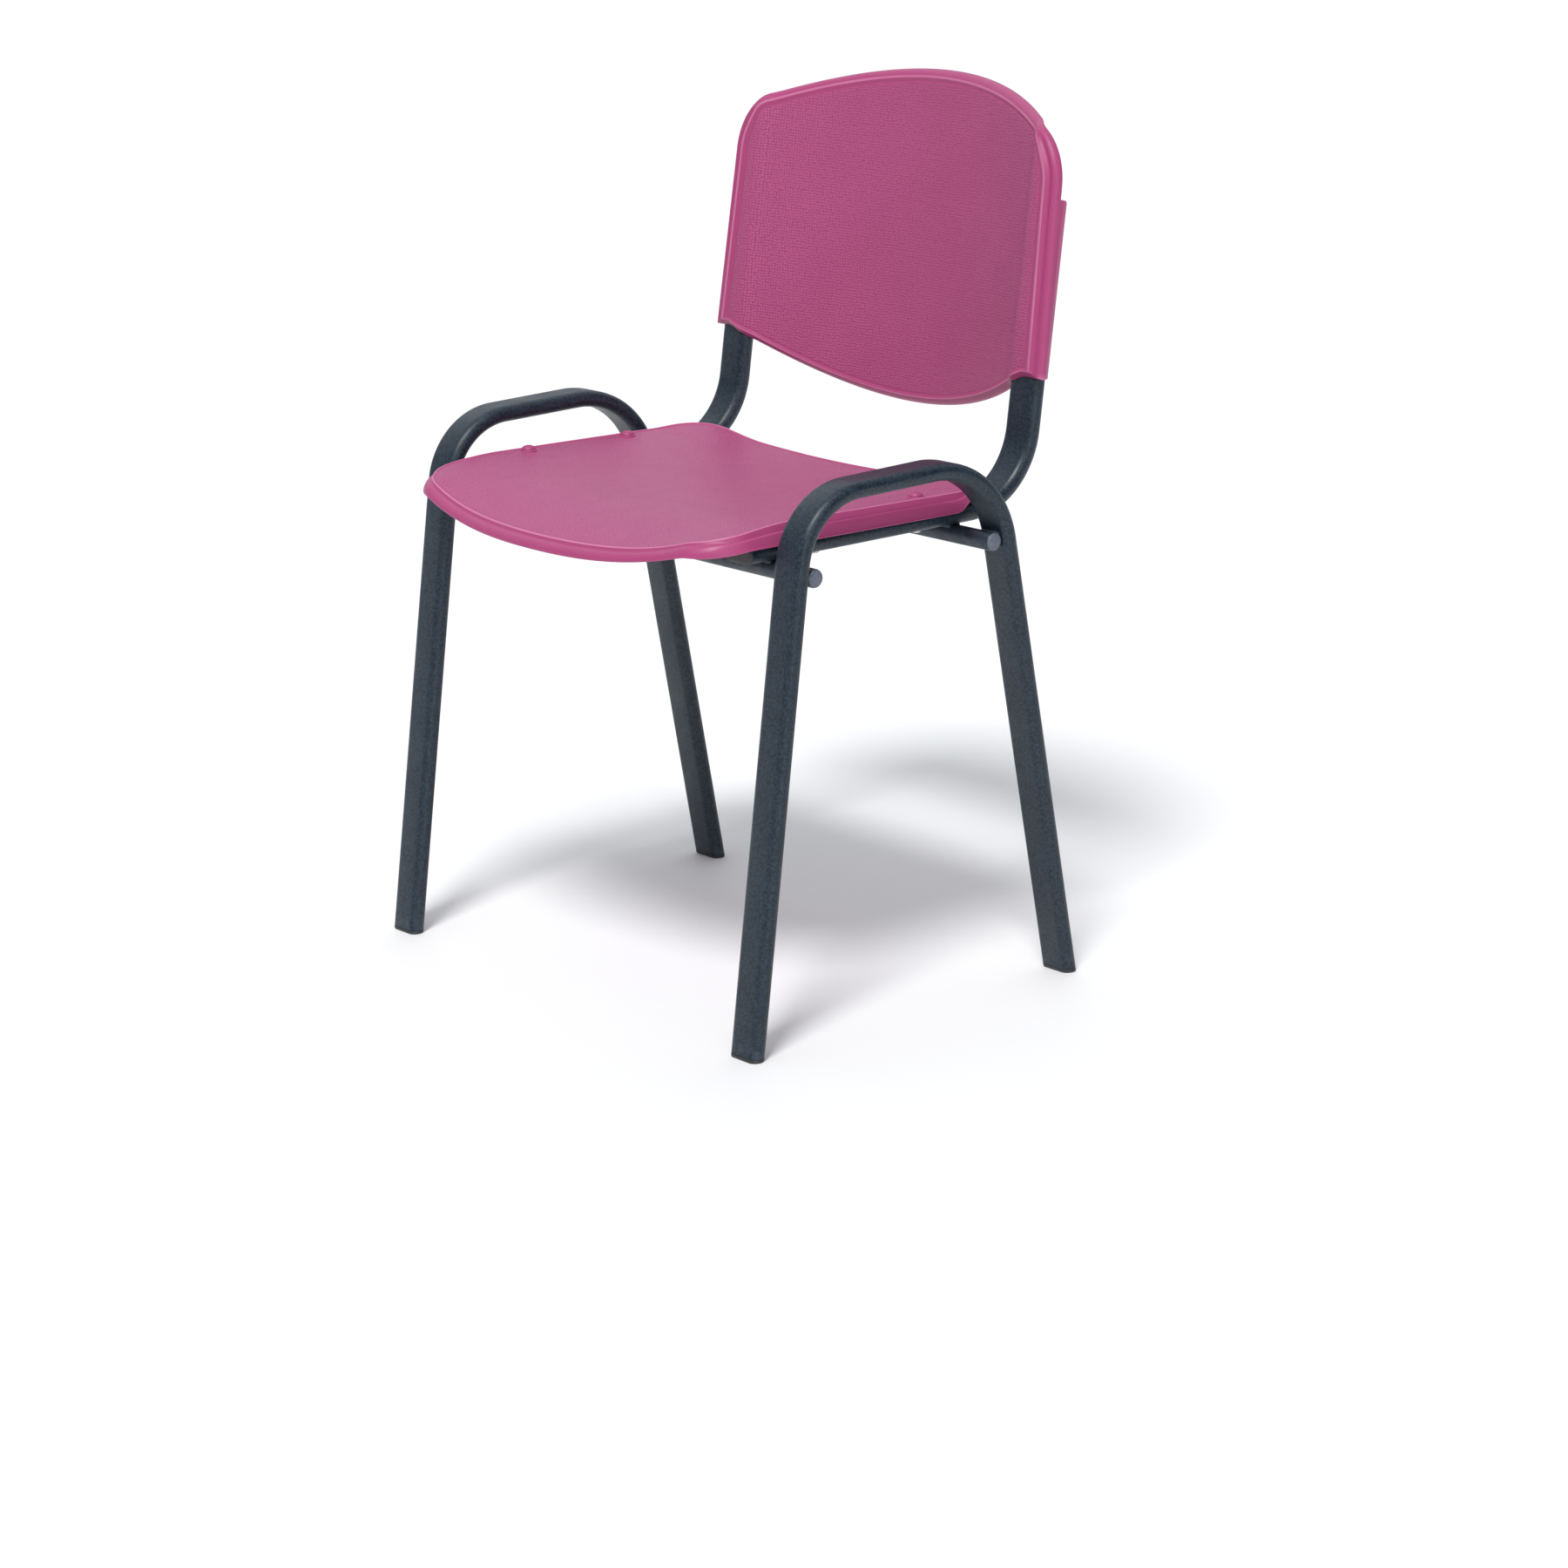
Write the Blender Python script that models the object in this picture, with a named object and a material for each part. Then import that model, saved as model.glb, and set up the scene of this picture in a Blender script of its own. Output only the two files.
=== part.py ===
"""Stacking chair: flat-oval tube frame, moulded seat shell and moulded back shell.

Origin: floor level, under the middle of the chair. +Z up, the sitter faces -Y.
Lengths below are in millimetres and are scaled to metres when the meshes are made.
"""
import bpy
import bmesh
from math import sin, cos, tan, radians, pi, atan2, hypot, acos
from mathutils import Vector

MM = 0.001
GAP = 0.3                       # clearance wherever two pieces meet

# flat-oval tube
TUBE_WIDE = 35.0                # across the chair
TUBE_THICK = 15.0
WALL = 1.5
OVAL_STEPS = 6                  # segments in each half round

# whole chair
Y_SHIFT = -39.8                 # moves the middle of the length onto the origin
LOOP_X = 246.5                  # centre plane of each side loop
SEAT_TUBE_X = 197.5             # centre plane of each seat and back tube

# side loop
FOOT_Y = 176.0
GLIDE_FLANGE = 3.0
FRONT_TOP = (-107.0, 461.5, 65.0)        # y, z, bend radius
REAR_TOP = (99.0, 466.0, 80.0)

# seat and back tube
SEAT_TUBE_Z = 412.0
SEAT_TUBE_FRONT = -130.0
BEND_Y = 173.5
BEND_RADIUS = 73.0
RECLINE = radians(9.2)
UPRIGHT_LENGTH = 246.0          # from the bend's corner to the tube's upper end

# cross tubes
CROSS_RADIUS = 8.0
CROSS_END = 257.0
CROSS_Z = SEAT_TUBE_Z - TUBE_THICK / 2 - CROSS_RADIUS - GAP

# seat shell
SEAT_HALF = 211.0
SEAT_REAR = 145.0
SEAT_FRONT = -191.0
SEAT_BOW = 0.00056              # front edge bows back by this much times x squared
SEAT_WALL = 4.0
SEAT_SIDE_Z = 433.0             # height of the side edges at y = 0
SEAT_SIDE_SLOPE = 0.019         # they rise this much per unit towards the front
SEAT_DISH = 9.0
SEAT_DISH_HALF = 205.0
SEAT_NOSE_LENGTH = 90.0         # the front part that curves down
SEAT_NOSE_DROP = 21.5
SEAT_CURL = 4.8                 # the rear corners turn up
SEAT_RIM_Z = 416.2              # lower edge of the turned-down rim
SEAT_RIM_SLOPE = 0.011
SEAT_RIM_FRONT_DROP = 22.0
SEAT_RIM_DROP = (-128.0, 40.0)    # where that drop starts, and over what length
SEAT_FACE_LIFT = (0.5, 4.0)     # the front drop is smaller by this share at the corners; power
SEAT_RIM_LIFT = (0.8, 2.6)
SEAT_LIFT_HALF = 180.0
SEAT_RIM_REAR = 5.0             # the rim is this deep along the rear edge
SEAT_SCREW_X = 200.0
SEAT_SCREW_Y = (58.0, -53.0)
SEAT_CORNERS = (45.0, 50.0)     # outline radii, front and rear
BOSS_RADIUS = 7.5
BUMP_HEIGHT = 5.0               # domes over the screw bosses

# back shell, in the plane of the uprights: x across, s up the upright, w forward
BACK_HALF = 216.7               # half width below the upper corners
BACK_FLARE = 5.3                # the sides spread by this much on the way down
BACK_TOP = 357.5
BACK_BOTTOM = 61.7
BACK_ARCH = 0.0011              # both the top and the bottom edge bow up and down
BACK_CORNER = 58.0
BACK_HOLLOW = -38.0             # how far the middle lies behind the uprights
BACK_HOLLOW_HALF = 184.0        # where the hollow has risen to BACK_HOLLOW_EDGE
BACK_HOLLOW_EDGE = 7.0
BACK_BAND = (174.0, 18.0)       # the flat side bands: start, and width of the run into them
BACK_FACE = 11.5                # front face of the side bands
BACK_WALL = 4.0
SLEEVE_BOTTOM = 106.0
SLEEVE_TOP = 258.0
SLEEVE_WIDE = 39.0
SLEEVE_REAR = -9.6              # rear wall behind the upright
SLEEVE_ROUND = 9.5
POCKET_TOP = UPRIGHT_LENGTH + 2.0
BACK_SCREW_S = 180.0

# screws
SHANK_RADIUS = 2.2
HEAD_RADIUS = 5.0
HEAD_HEIGHT = 3.0


# ---------------------------------------------------------------- outlines and paths

def oval(half_wide, half_thick, steps=OVAL_STEPS):
    """Flat-oval section: half rounds joined by flats, as (across, through) pairs."""
    flat = half_wide - half_thick
    points = []
    for side, start in ((1, -pi / 2), (-1, pi / 2)):
        for i in range(steps + 1):
            angle = start + pi * i / steps
            points.append((side * flat + half_thick * cos(angle), half_thick * sin(angle)))
    return points


def circle(radius, steps=16):
    return [(radius * cos(2 * pi * i / steps), radius * sin(2 * pi * i / steps)) for i in range(steps)]


def fillet(corner, before, after, radius, steps):
    """Points of the arc that rounds one corner of a path."""
    corner, before, after = Vector(corner), Vector(before), Vector(after)
    u, v = (before - corner).normalized(), (after - corner).normalized()
    half = acos(max(-1.0, min(1.0, u.dot(v)))) / 2
    middle = corner + (u + v).normalized() * (radius / sin(half))
    start = corner + u * (radius / tan(half)) - middle
    stop = corner + v * (radius / tan(half)) - middle
    a0 = atan2(start.y, start.x)
    turn = (atan2(stop.y, stop.x) - a0 + pi) % (2 * pi) - pi
    return [middle + Vector((cos(a0 + turn * i / steps), sin(a0 + turn * i / steps))) * radius
            for i in range(steps + 1)]


def bent_path(points, steps=9):
    """points: (y, z) or (y, z, radius); ends have no radius."""
    path = [Vector(points[0][:2])]
    for i in range(1, len(points) - 1):
        path += fillet(points[i][:2], points[i - 1][:2], points[i + 1][:2], points[i][2], steps)
    return path + [Vector(points[-1][:2])]


# ---------------------------------------------------------------- mesh helpers

def add_ring(bm, points):
    return [bm.verts.new(Vector(p) * MM) for p in points]


def bridge(bm, ring_a, ring_b):
    n = len(ring_a)
    for i in range(n):
        j = (i + 1) % n
        bm.faces.new((ring_a[i], ring_a[j], ring_b[j], ring_b[i]))


def finish(bm, name, colour, metallic=0.0, roughness=0.5):
    bmesh.ops.recalc_face_normals(bm, faces=bm.faces)
    mesh = bpy.data.meshes.new(name)
    bm.to_mesh(mesh)
    bm.free()
    mesh.polygons.foreach_set('use_smooth', [True] * len(mesh.polygons))
    obj = bpy.data.objects.new(name, mesh)
    bpy.context.scene.collection.objects.link(obj)
    material = bpy.data.materials.new(name)
    material.use_nodes = True
    shader = material.node_tree.nodes['Principled BSDF']
    shader.inputs['Base Color'].default_value = (*colour, 1.0)
    shader.inputs['Metallic'].default_value = metallic
    shader.inputs['Roughness'].default_value = roughness
    mesh.materials.append(material)
    return obj


def combine(obj, other, operation):
    """Exact boolean; the other solid is used up."""
    modifier = obj.modifiers.new(operation.lower(), 'BOOLEAN')
    modifier.operation = operation
    modifier.solver = 'EXACT'
    modifier.object = other
    depsgraph = bpy.context.evaluated_depsgraph_get()
    result = bpy.data.meshes.new_from_object(obj.evaluated_get(depsgraph))
    obj.modifiers.clear()
    old, obj.data = obj.data, result
    result.name = obj.name
    bpy.data.meshes.remove(old)
    spare = other.data
    bpy.data.objects.remove(other)
    bpy.data.meshes.remove(spare)


def join_all(obj, others, operation):
    for other in others:
        combine(obj, other, operation)
    bm = bmesh.new()
    bm.from_mesh(obj.data)
    bmesh.ops.remove_doubles(bm, verts=bm.verts, dist=1e-6)
    bmesh.ops.dissolve_degenerate(bm, edges=bm.edges, dist=1e-7)
    bmesh.ops.triangulate(bm, faces=[f for f in bm.faces if len(f.verts) > 4])
    bm.to_mesh(obj.data)
    bm.free()
    obj.data.polygons.foreach_set('use_smooth', [True] * len(obj.data.polygons))


# ---------------------------------------------------------------- tubes

def path_rings(path, x, section, cut_z=None):
    """Rings of a section carried along a (y, z) path; cut_z trims both ends level."""
    rings = []
    for i, point in enumerate(path):
        before, after = path[max(i - 1, 0)], path[min(i + 1, len(path) - 1)]
        along = (after - before).normalized()
        if 0 < i < len(path) - 1:
            along = ((point - before).normalized() + (after - point).normalized()).normalized()
        normal = Vector((-along.y, along.x))
        ring = []
        for across, through in section:
            p = point + normal * through
            if cut_z is not None and i in (0, len(path) - 1):
                p = p + along * ((cut_z - p.y) / along.y)
            ring.append((x + across, p.x + Y_SHIFT, p.y))
        rings.append(ring)
    return rings


def hollow_tube(name, path, x, colour, cut_z=None):
    bm = bmesh.new()
    skins = []
    for inset in (0.0, WALL):
        section = oval(TUBE_WIDE / 2 - inset, TUBE_THICK / 2 - inset)
        rings = [add_ring(bm, r) for r in path_rings(path, x, section, cut_z)]
        for a, b in zip(rings, rings[1:]):
            bridge(bm, a, b)
        skins.append(rings)
    bridge(bm, skins[0][0], skins[1][0])
    bridge(bm, skins[0][-1], skins[1][-1])
    return finish(bm, name, colour, metallic=0.3, roughness=0.35)


def solid_from_rings(name, rings, colour, roughness=0.5, metallic=0.0):
    bm = bmesh.new()
    loops = [add_ring(bm, r) for r in rings]
    for a, b in zip(loops, loops[1:]):
        bridge(bm, a, b)
    bm.faces.new(loops[0])
    bm.faces.new(loops[-1])
    return finish(bm, name, colour, metallic=metallic, roughness=roughness)


FRAME = (0.028, 0.032, 0.042)
PLASTIC_BLACK = (0.03, 0.03, 0.034)
PLUG_GREY = (0.20, 0.21, 0.23)
STEEL = (0.55, 0.56, 0.58)
BURGUNDY = (0.42, 0.075, 0.205)


def side_loop(name, x):
    front_foot, rear_foot = (-FOOT_Y, 0.0), (FOOT_Y, 0.0)
    path = bent_path([front_foot, FRONT_TOP, REAR_TOP, rear_foot])
    return hollow_tube(name, path, x, FRAME, cut_z=GLIDE_FLANGE + GAP)


def upright_point(s, w=0.0):
    """(y, z) of the point s up the upright and w in front of its centre line."""
    return (BEND_Y + s * sin(RECLINE) - w * cos(RECLINE), SEAT_TUBE_Z + s * cos(RECLINE) + w * sin(RECLINE))


def seat_tube(name, x):
    path = bent_path([(SEAT_TUBE_FRONT, SEAT_TUBE_Z), (BEND_Y, SEAT_TUBE_Z, BEND_RADIUS),
                      upright_point(UPRIGHT_LENGTH)])
    return hollow_tube(name, path, x, FRAME)


def leg_glide(name, x, sign):
    """sign -1 for the front leg, +1 for the rear. Flange under the tube and an insert inside it."""
    corner = FRONT_TOP if sign < 0 else REAR_TOP
    slope = (corner[0] - sign * FOOT_Y) / corner[1]
    stretch = hypot(1.0, slope)

    def ring(inset, z):
        wide, thick = TUBE_WIDE / 2 - inset, TUBE_THICK / 2 - inset
        return [(x + a, Y_SHIFT + sign * FOOT_Y + slope * z + b * stretch, z) for a, b in oval(wide, thick)]

    core = WALL + GAP
    rings = [ring(1.0, 0.0), ring(0.0, 1.0), ring(0.0, GLIDE_FLANGE), ring(core, GLIDE_FLANGE),
             ring(core, 22.0), ring(core + 1.0, 24.0)]
    return solid_from_rings(name, rings, PLASTIC_BLACK, roughness=0.6)


def seat_tube_plug(name, x):
    """Closes the front end of a seat tube."""
    def ring(inset, y):
        section = oval(TUBE_WIDE / 2 - inset, TUBE_THICK / 2 - inset)
        return [(x + a, y + Y_SHIFT, SEAT_TUBE_Z + b) for a, b in section]

    core, end = WALL + GAP, SEAT_TUBE_FRONT - GAP
    rings = [ring(1.2, end - 2.5), ring(0.0, end - 1.3), ring(0.0, end), ring(core, end),
             ring(core, end + 14.0), ring(core + 1.0, end + 16.0)]
    return solid_from_rings(name, rings, PLASTIC_BLACK, roughness=0.6)


def cross_y(corner, sign):
    """Centre of a cross tube that touches the inner side of the legs."""
    slope = (corner[0] - sign * FOOT_Y) / corner[1]
    reach = (TUBE_THICK / 2 + CROSS_RADIUS + GAP) * hypot(1.0, slope)
    return sign * (FOOT_Y - reach) + slope * CROSS_Z


CROSS_Y = {'front': cross_y(FRONT_TOP, -1), 'rear': cross_y(REAR_TOP, 1)}


def cross_ring(x, y, radius):
    return [(x, y + Y_SHIFT + b, CROSS_Z + c) for b, c in circle(radius)]


def cross_tube(name, y):
    bm = bmesh.new()
    corners = [(-CROSS_END, CROSS_RADIUS), (CROSS_END, CROSS_RADIUS),
               (CROSS_END, CROSS_RADIUS - WALL), (-CROSS_END, CROSS_RADIUS - WALL)]
    rings = [add_ring(bm, cross_ring(x, y, r)) for x, r in corners]
    for i in range(4):
        bridge(bm, rings[i], rings[(i + 1) % 4])
    return finish(bm, name, FRAME, metallic=0.3, roughness=0.35)


def cross_plug(name, y, side):
    inner, end = CROSS_RADIUS - WALL - GAP, CROSS_END + GAP
    profile = [(end - 14.0, inner - 1.0), (end - 12.5, inner), (end, inner), (end, CROSS_RADIUS - 0.3),
               (end + 0.8, CROSS_RADIUS - 0.3), (end + 2.0, 6.0), (end + 2.7, 3.0)]
    rings = [cross_ring(side * x, y, r) for x, r in profile]
    return solid_from_rings(name, rings, PLUG_GREY, roughness=0.4)


# ---------------------------------------------------------------- moulded shells

def resample(points, count):
    """count + 1 points at even distances along an open polyline."""
    lengths = [0.0]
    for a, b in zip(points, points[1:]):
        lengths.append(lengths[-1] + (b - a).length)
    out, k = [], 0
    for i in range(count + 1):
        target = lengths[-1] * i / count
        while k < len(points) - 2 and lengths[k + 1] < target:
            k += 1
        t = (target - lengths[k]) / max(lengths[k + 1] - lengths[k], 1e-9)
        out.append(points[k].lerp(points[k + 1], min(max(t, 0.0), 1.0)))
    return out


def mirror(points):
    return [Vector((-p.x, p.y)) for p in reversed(points)]


def edge_round(half, base, bow, x, radius, side_b, steps=8):
    """Rounds the corner between a straight side at half and an edge base + bow * x * x."""
    meet = base + bow * x * x + 2 * bow * x * (half - x)
    return fillet((half, meet), (half, side_b), (x, base + bow * x * x), radius, steps)


def offset_loop(points, distance):
    """Closed counter-clockwise loop moved outward."""
    out, n = [], len(points)
    for i in range(n):
        along = (points[(i + 1) % n] - points[i - 1]).normalized()
        out.append(points[i] + Vector((along.y, -along.x)) * distance)
    return out


def shell(name, sides, counts, rings, face, depth, place, colour):
    """Thin moulding.

    sides: four polylines round the outline, counter-clockwise from the lower left corner.
    rings: (outward offset, drop below the face) from the face's edge over the rim to the inner face.
    face(a, b) and depth(a, b, drop) give heights; place(a, b, h) gives the point in the chair.
    """
    loop = []
    for line, count in zip(sides, (counts[0], counts[1], counts[0], counts[1])):
        loop += resample(line, count)[:-1]
    edge = offset_loop(loop, rings[0][0])
    nu, nv = counts
    low, right = edge[:nu + 1], edge[nu:nu + nv + 1]
    high, left = edge[nu + nv:2 * nu + nv + 1][::-1], (edge[2 * nu + nv:] + edge[:1])[::-1]
    grid = []
    for j in range(nv + 1):
        v, row = j / nv, []
        for i in range(nu + 1):
            u = i / nu
            row.append(low[i] * (1 - v) + high[i] * v + left[j] * (1 - u) + right[j] * u
                       - low[0] * (1 - u) * (1 - v) - low[-1] * u * (1 - v)
                       - high[0] * (1 - u) * v - high[-1] * u * v)
        grid.append(row)
    bm = bmesh.new()

    def skin(drop):
        net = [add_ring(bm, [place(p.x, p.y, face(p.x, p.y) - drop) for p in row]) for row in grid]
        for j in range(nv):
            for i in range(nu):
                bm.faces.new((net[j][i], net[j][i + 1], net[j + 1][i + 1], net[j + 1][i]))
        return (net[0][:-1] + [net[j][nu] for j in range(nv)] + net[nv][:0:-1]
                + [net[j][0] for j in range(nv, 0, -1)])

    outer, inner = skin(rings[0][1]), skin(rings[-1][1])
    loops = [outer]
    for out, drop in rings[1:-1]:
        at = offset_loop(loop, out)
        loops.append(add_ring(bm, [place(p.x, p.y, depth(q.x, q.y, drop)) for p, q in zip(at, loop)]))
    loops.append(inner)
    for a, b in zip(loops, loops[1:]):
        bridge(bm, a, b)
    bmesh.ops.triangulate(bm, faces=bm.faces)
    return finish(bm, name, colour, roughness=0.45)


def ease(t):
    t = min(max(t, 0.0), 1.0)
    return t * t * (3 - 2 * t)


# seat shell -------------------------------------------------------

def front_drop_share(x, lift):
    """The front drops less towards the corners than in the middle."""
    share, power = lift
    return 1 - share * min(abs(x) / SEAT_LIFT_HALF, 1.0) ** power


def seat_face(x, y):
    """Height of the upper face."""
    side = SEAT_SIDE_Z - SEAT_SIDE_SLOPE * y
    across = max(0.0, 1 - (x / SEAT_DISH_HALF) ** 2)
    nose = max(0.0, 1 - (y - SEAT_FRONT - SEAT_BOW * x * x) / SEAT_NOSE_LENGTH)
    curl = SEAT_CURL * ease((y - 95.0) / 50.0) * ease((abs(x) - 110.0) / 80.0)
    drop = SEAT_NOSE_DROP * nose ** 2 * front_drop_share(x, SEAT_FACE_LIFT)
    return side - SEAT_DISH * across ** 1.2 - drop + curl


def seat_rim(x, y):
    """Height of the lower edge of the turned-down rim."""
    rear = ease((y - 92.0) / 18.0)
    front = ease((SEAT_RIM_DROP[0] - y) / SEAT_RIM_DROP[1]) * front_drop_share(x, SEAT_RIM_LIFT)
    along_side = SEAT_RIM_Z - SEAT_RIM_SLOPE * y - SEAT_RIM_FRONT_DROP * front
    return (1 - rear) * along_side + rear * (seat_face(x, y) - SEAT_RIM_REAR)


def seat_depth(x, y, drop):
    """drop 0..1 runs from the face down to the lower edge."""
    return seat_face(x, y) + (seat_rim(x, y) - seat_face(x, y)) * drop


def seat_outline():
    front = edge_round(SEAT_HALF, SEAT_FRONT, SEAT_BOW, 175.0, SEAT_CORNERS[0], 0.0)[::-1]
    rear = fillet((SEAT_HALF, SEAT_REAR), (SEAT_HALF, 0.0), (0.0, SEAT_REAR), SEAT_CORNERS[1], 8)
    bow = [Vector((x, SEAT_FRONT + SEAT_BOW * x * x)) for x in range(-160, 161, 20)]
    front_left, rear_left = mirror(front), mirror(rear)
    return [front_left[4:] + bow + front[:5], front[4:] + rear[:5],
            rear[4:] + rear_left[:5], rear_left[4:] + front_left[:5]]


def seat_shell(name):
    rings = [(-7.0, 0.0), (0.0, 0.0), (2.0, 0.3), (5.0, 0.42), (6.5, 1.0), (3.8, 1.0), (2.6, 0.72),
             (-7.0, SEAT_WALL)]
    seat = shell(name, seat_outline(), (16, 14), rings, seat_face, seat_depth,
                 lambda x, y, z: (x, y + Y_SHIFT, z), BURGUNDY)
    rest = SEAT_TUBE_Z + TUBE_THICK / 2 + GAP
    bosses, holes = [], []
    for side in (-1, 1):
        for y in SEAT_SCREW_Y:
            x, top = side * SEAT_SCREW_X, seat_face(SEAT_SCREW_X, y)

            def ring(radius, z):
                return [(x + a, y + Y_SHIFT + b, z) for a, b in circle(radius)]

            bosses.append(solid_from_rings('boss', [
                ring(BOSS_RADIUS, rest), ring(BOSS_RADIUS, top + 1.2), ring(6.0, top + 3.2),
                ring(3.6, top + BUMP_HEIGHT - 0.5), ring(1.2, top + BUMP_HEIGHT)], BURGUNDY))
            holes.append(solid_from_rings('hole', [ring(SHANK_RADIUS + GAP, rest - 5.0),
                                                   ring(SHANK_RADIUS + GAP, top)], BURGUNDY))
    join_all(seat, bosses, 'UNION')
    join_all(seat, holes, 'DIFFERENCE')
    return seat


# back shell -------------------------------------------------------

def back_face(x, s):
    """How far the front face lies in front of the uprights' centre line; the same at any s."""
    hollow = BACK_HOLLOW + (BACK_HOLLOW_EDGE - BACK_HOLLOW) * (x / BACK_HOLLOW_HALF) ** 2
    return hollow + (BACK_FACE - hollow) * ease((abs(x) - BACK_BAND[0]) / BACK_BAND[1])


def back_place(x, s, w):
    y, z = upright_point(s, w)
    return (x, y + Y_SHIFT, z)


def back_outline():
    foot = BACK_HALF + BACK_FLARE
    lower = []
    for x in [-foot] + list(range(-200, 201, 20)) + [foot]:
        lower.append(Vector((x, BACK_BOTTOM + BACK_ARCH * min(abs(x), 200.0) ** 2)))
    top = [Vector((x, BACK_TOP - BACK_ARCH * x * x)) for x in range(170, -171, -20)]
    corner = edge_round(BACK_HALF, BACK_TOP, -BACK_ARCH, 175.0, BACK_CORNER, 100.0)
    other = mirror(corner)
    return [lower, [lower[-1]] + corner[:5], corner[4:] + top + other[:5], other[4:] + [lower[0]]]


def back_depth(x, s, drop):
    return back_face(x, s) - drop


def back_shell(name):
    rings = [(-12.0, 0.0), (-5.0, 1.0), (-1.2, 3.4), (0.0, 6.5), (0.0, 9.0), (-3.6, 9.0), (-4.2, 7.0),
             (-12.0, BACK_WALL)]
    back = shell(name, back_outline(), (24, 12), rings, back_face, back_depth, back_place, BURGUNDY)
    sleeves, pockets = [], []
    for side in (-1, 1):
        x = side * SEAT_TUBE_X

        def ring(points, s):
            return [back_place(x + a, s, b) for a, b in points]

        wall = [(side * a, b) for a, b in sleeve_section()]
        ends = (SLEEVE_BOTTOM, SLEEVE_TOP)
        sleeves.append(solid_from_rings('sleeve', [ring(wall, s) for s in ends], BURGUNDY))
        bore = oval(TUBE_WIDE / 2 + GAP, TUBE_THICK / 2 + GAP)
        pockets.append(solid_from_rings('pocket', [ring(bore, 40.0), ring(bore, POCKET_TOP)], BURGUNDY))
        pockets.append(screw_hole('screw_hole', x, BACK_SCREW_S, -30.0, 0.0))
    join_all(back, sleeves, 'UNION')
    join_all(back, pockets, 'DIFFERENCE')
    return back


def sleeve_section():
    """Right-hand sleeve: runs into the plate at the front, rounded at the rear."""
    half = SLEEVE_WIDE / 2
    corners = [(half, 7.5), (-half, 2.0), (-half, SLEEVE_REAR), (half, SLEEVE_REAR)]
    points = [Vector(corners[0]), Vector(corners[1])]
    points += fillet(corners[2], corners[1], corners[3], SLEEVE_ROUND, 5)
    points += fillet(corners[3], corners[2], corners[0], SLEEVE_ROUND, 5)
    return [(p.x, p.y) for p in points]


def screw_hole(name, x, s, w0, w1):
    def ring(w):
        points = []
        for a, b in circle(SHANK_RADIUS + GAP, 12):
            y, z = upright_point(s + b, w)
            points.append((x + a, y + Y_SHIFT, z))
        return points
    return solid_from_rings(name, [ring(w0), ring(w1)], BURGUNDY)


# ---------------------------------------------------------------- screws

def seat_screw(name, side, y):
    x, tip = side * SEAT_SCREW_X, seat_face(SEAT_SCREW_X, y) - 1.5
    under = SEAT_TUBE_Z - TUBE_THICK / 2 - GAP
    profile = [(under - HEAD_HEIGHT, 2.6), (under - HEAD_HEIGHT + 0.6, 4.2), (under - 1.2, HEAD_RADIUS),
               (under, HEAD_RADIUS), (under, SHANK_RADIUS), (tip - 2.0, SHANK_RADIUS), (tip, 0.8)]
    rings = [[(x + a, y + Y_SHIFT + b, z) for a, b in circle(r, 12)] for z, r in profile]
    return solid_from_rings(name, rings, STEEL, roughness=0.3, metallic=1.0)


def back_screw(name, side):
    x, rear = side * SEAT_TUBE_X, SLEEVE_REAR - GAP
    profile = [(rear - 2.2, 2.2), (rear - 1.6, 3.4), (rear - 0.6, 4.0), (rear, 4.0),
               (rear, SHANK_RADIUS), (-3.0, SHANK_RADIUS), (-1.0, 0.8)]
    rings = [[back_place(x + a, BACK_SCREW_S + b, w) for a, b in circle(r, 12)] for w, r in profile]
    return solid_from_rings(name, rings, STEEL, roughness=0.3, metallic=1.0)


# ---------------------------------------------------------------- build

for old in list(bpy.data.objects):
    bpy.data.objects.remove(old)

for word, side in (('left', -1), ('right', 1)):
    side_loop(word + '_side_loop', side * LOOP_X)
    leg_glide('front_' + word + '_glide', side * LOOP_X, -1)
    leg_glide('rear_' + word + '_glide', side * LOOP_X, 1)
    tube = seat_tube(word + '_seat_back_tube', side * SEAT_TUBE_X)
    drills = [screw_hole('drill', side * SEAT_TUBE_X, BACK_SCREW_S, -30.0, 0.0)]
    for y in SEAT_SCREW_Y:
        drills.append(solid_from_rings('drill', [
            [(side * SEAT_SCREW_X + a, y + Y_SHIFT + b, z) for a, b in circle(SHANK_RADIUS + 2 * GAP, 12)]
            for z in (SEAT_TUBE_Z - 20.0, SEAT_TUBE_Z + 20.0)], FRAME))
    join_all(tube, drills, 'DIFFERENCE')
    seat_tube_plug(word + '_seat_tube_plug', side * SEAT_TUBE_X)
    for end, y in CROSS_Y.items():
        cross_plug(end + '_' + word + '_cross_plug', y, side)
    for end, y in (('rear', SEAT_SCREW_Y[0]), ('front', SEAT_SCREW_Y[1])):
        seat_screw(end + '_' + word + '_seat_screw', side, y)
    back_screw(word + '_back_screw', side)

cross_tube('front_cross_tube', CROSS_Y['front'])
cross_tube('rear_cross_tube', CROSS_Y['rear'])
seat_shell('seat_shell')
back_shell('back_shell')
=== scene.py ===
"""Looks of the stacking chair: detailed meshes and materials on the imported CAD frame.

Lengths below are in millimetres and are scaled to metres when the meshes are made.
The sitter faces -Y; left and right are as seen from the front.
"""

from math import acos, atan2, cos, hypot, pi, radians, sin, tan

import bpy
import bmesh
from mathutils import Matrix, Vector
from mathutils.geometry import intersect_line_line_2d


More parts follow.
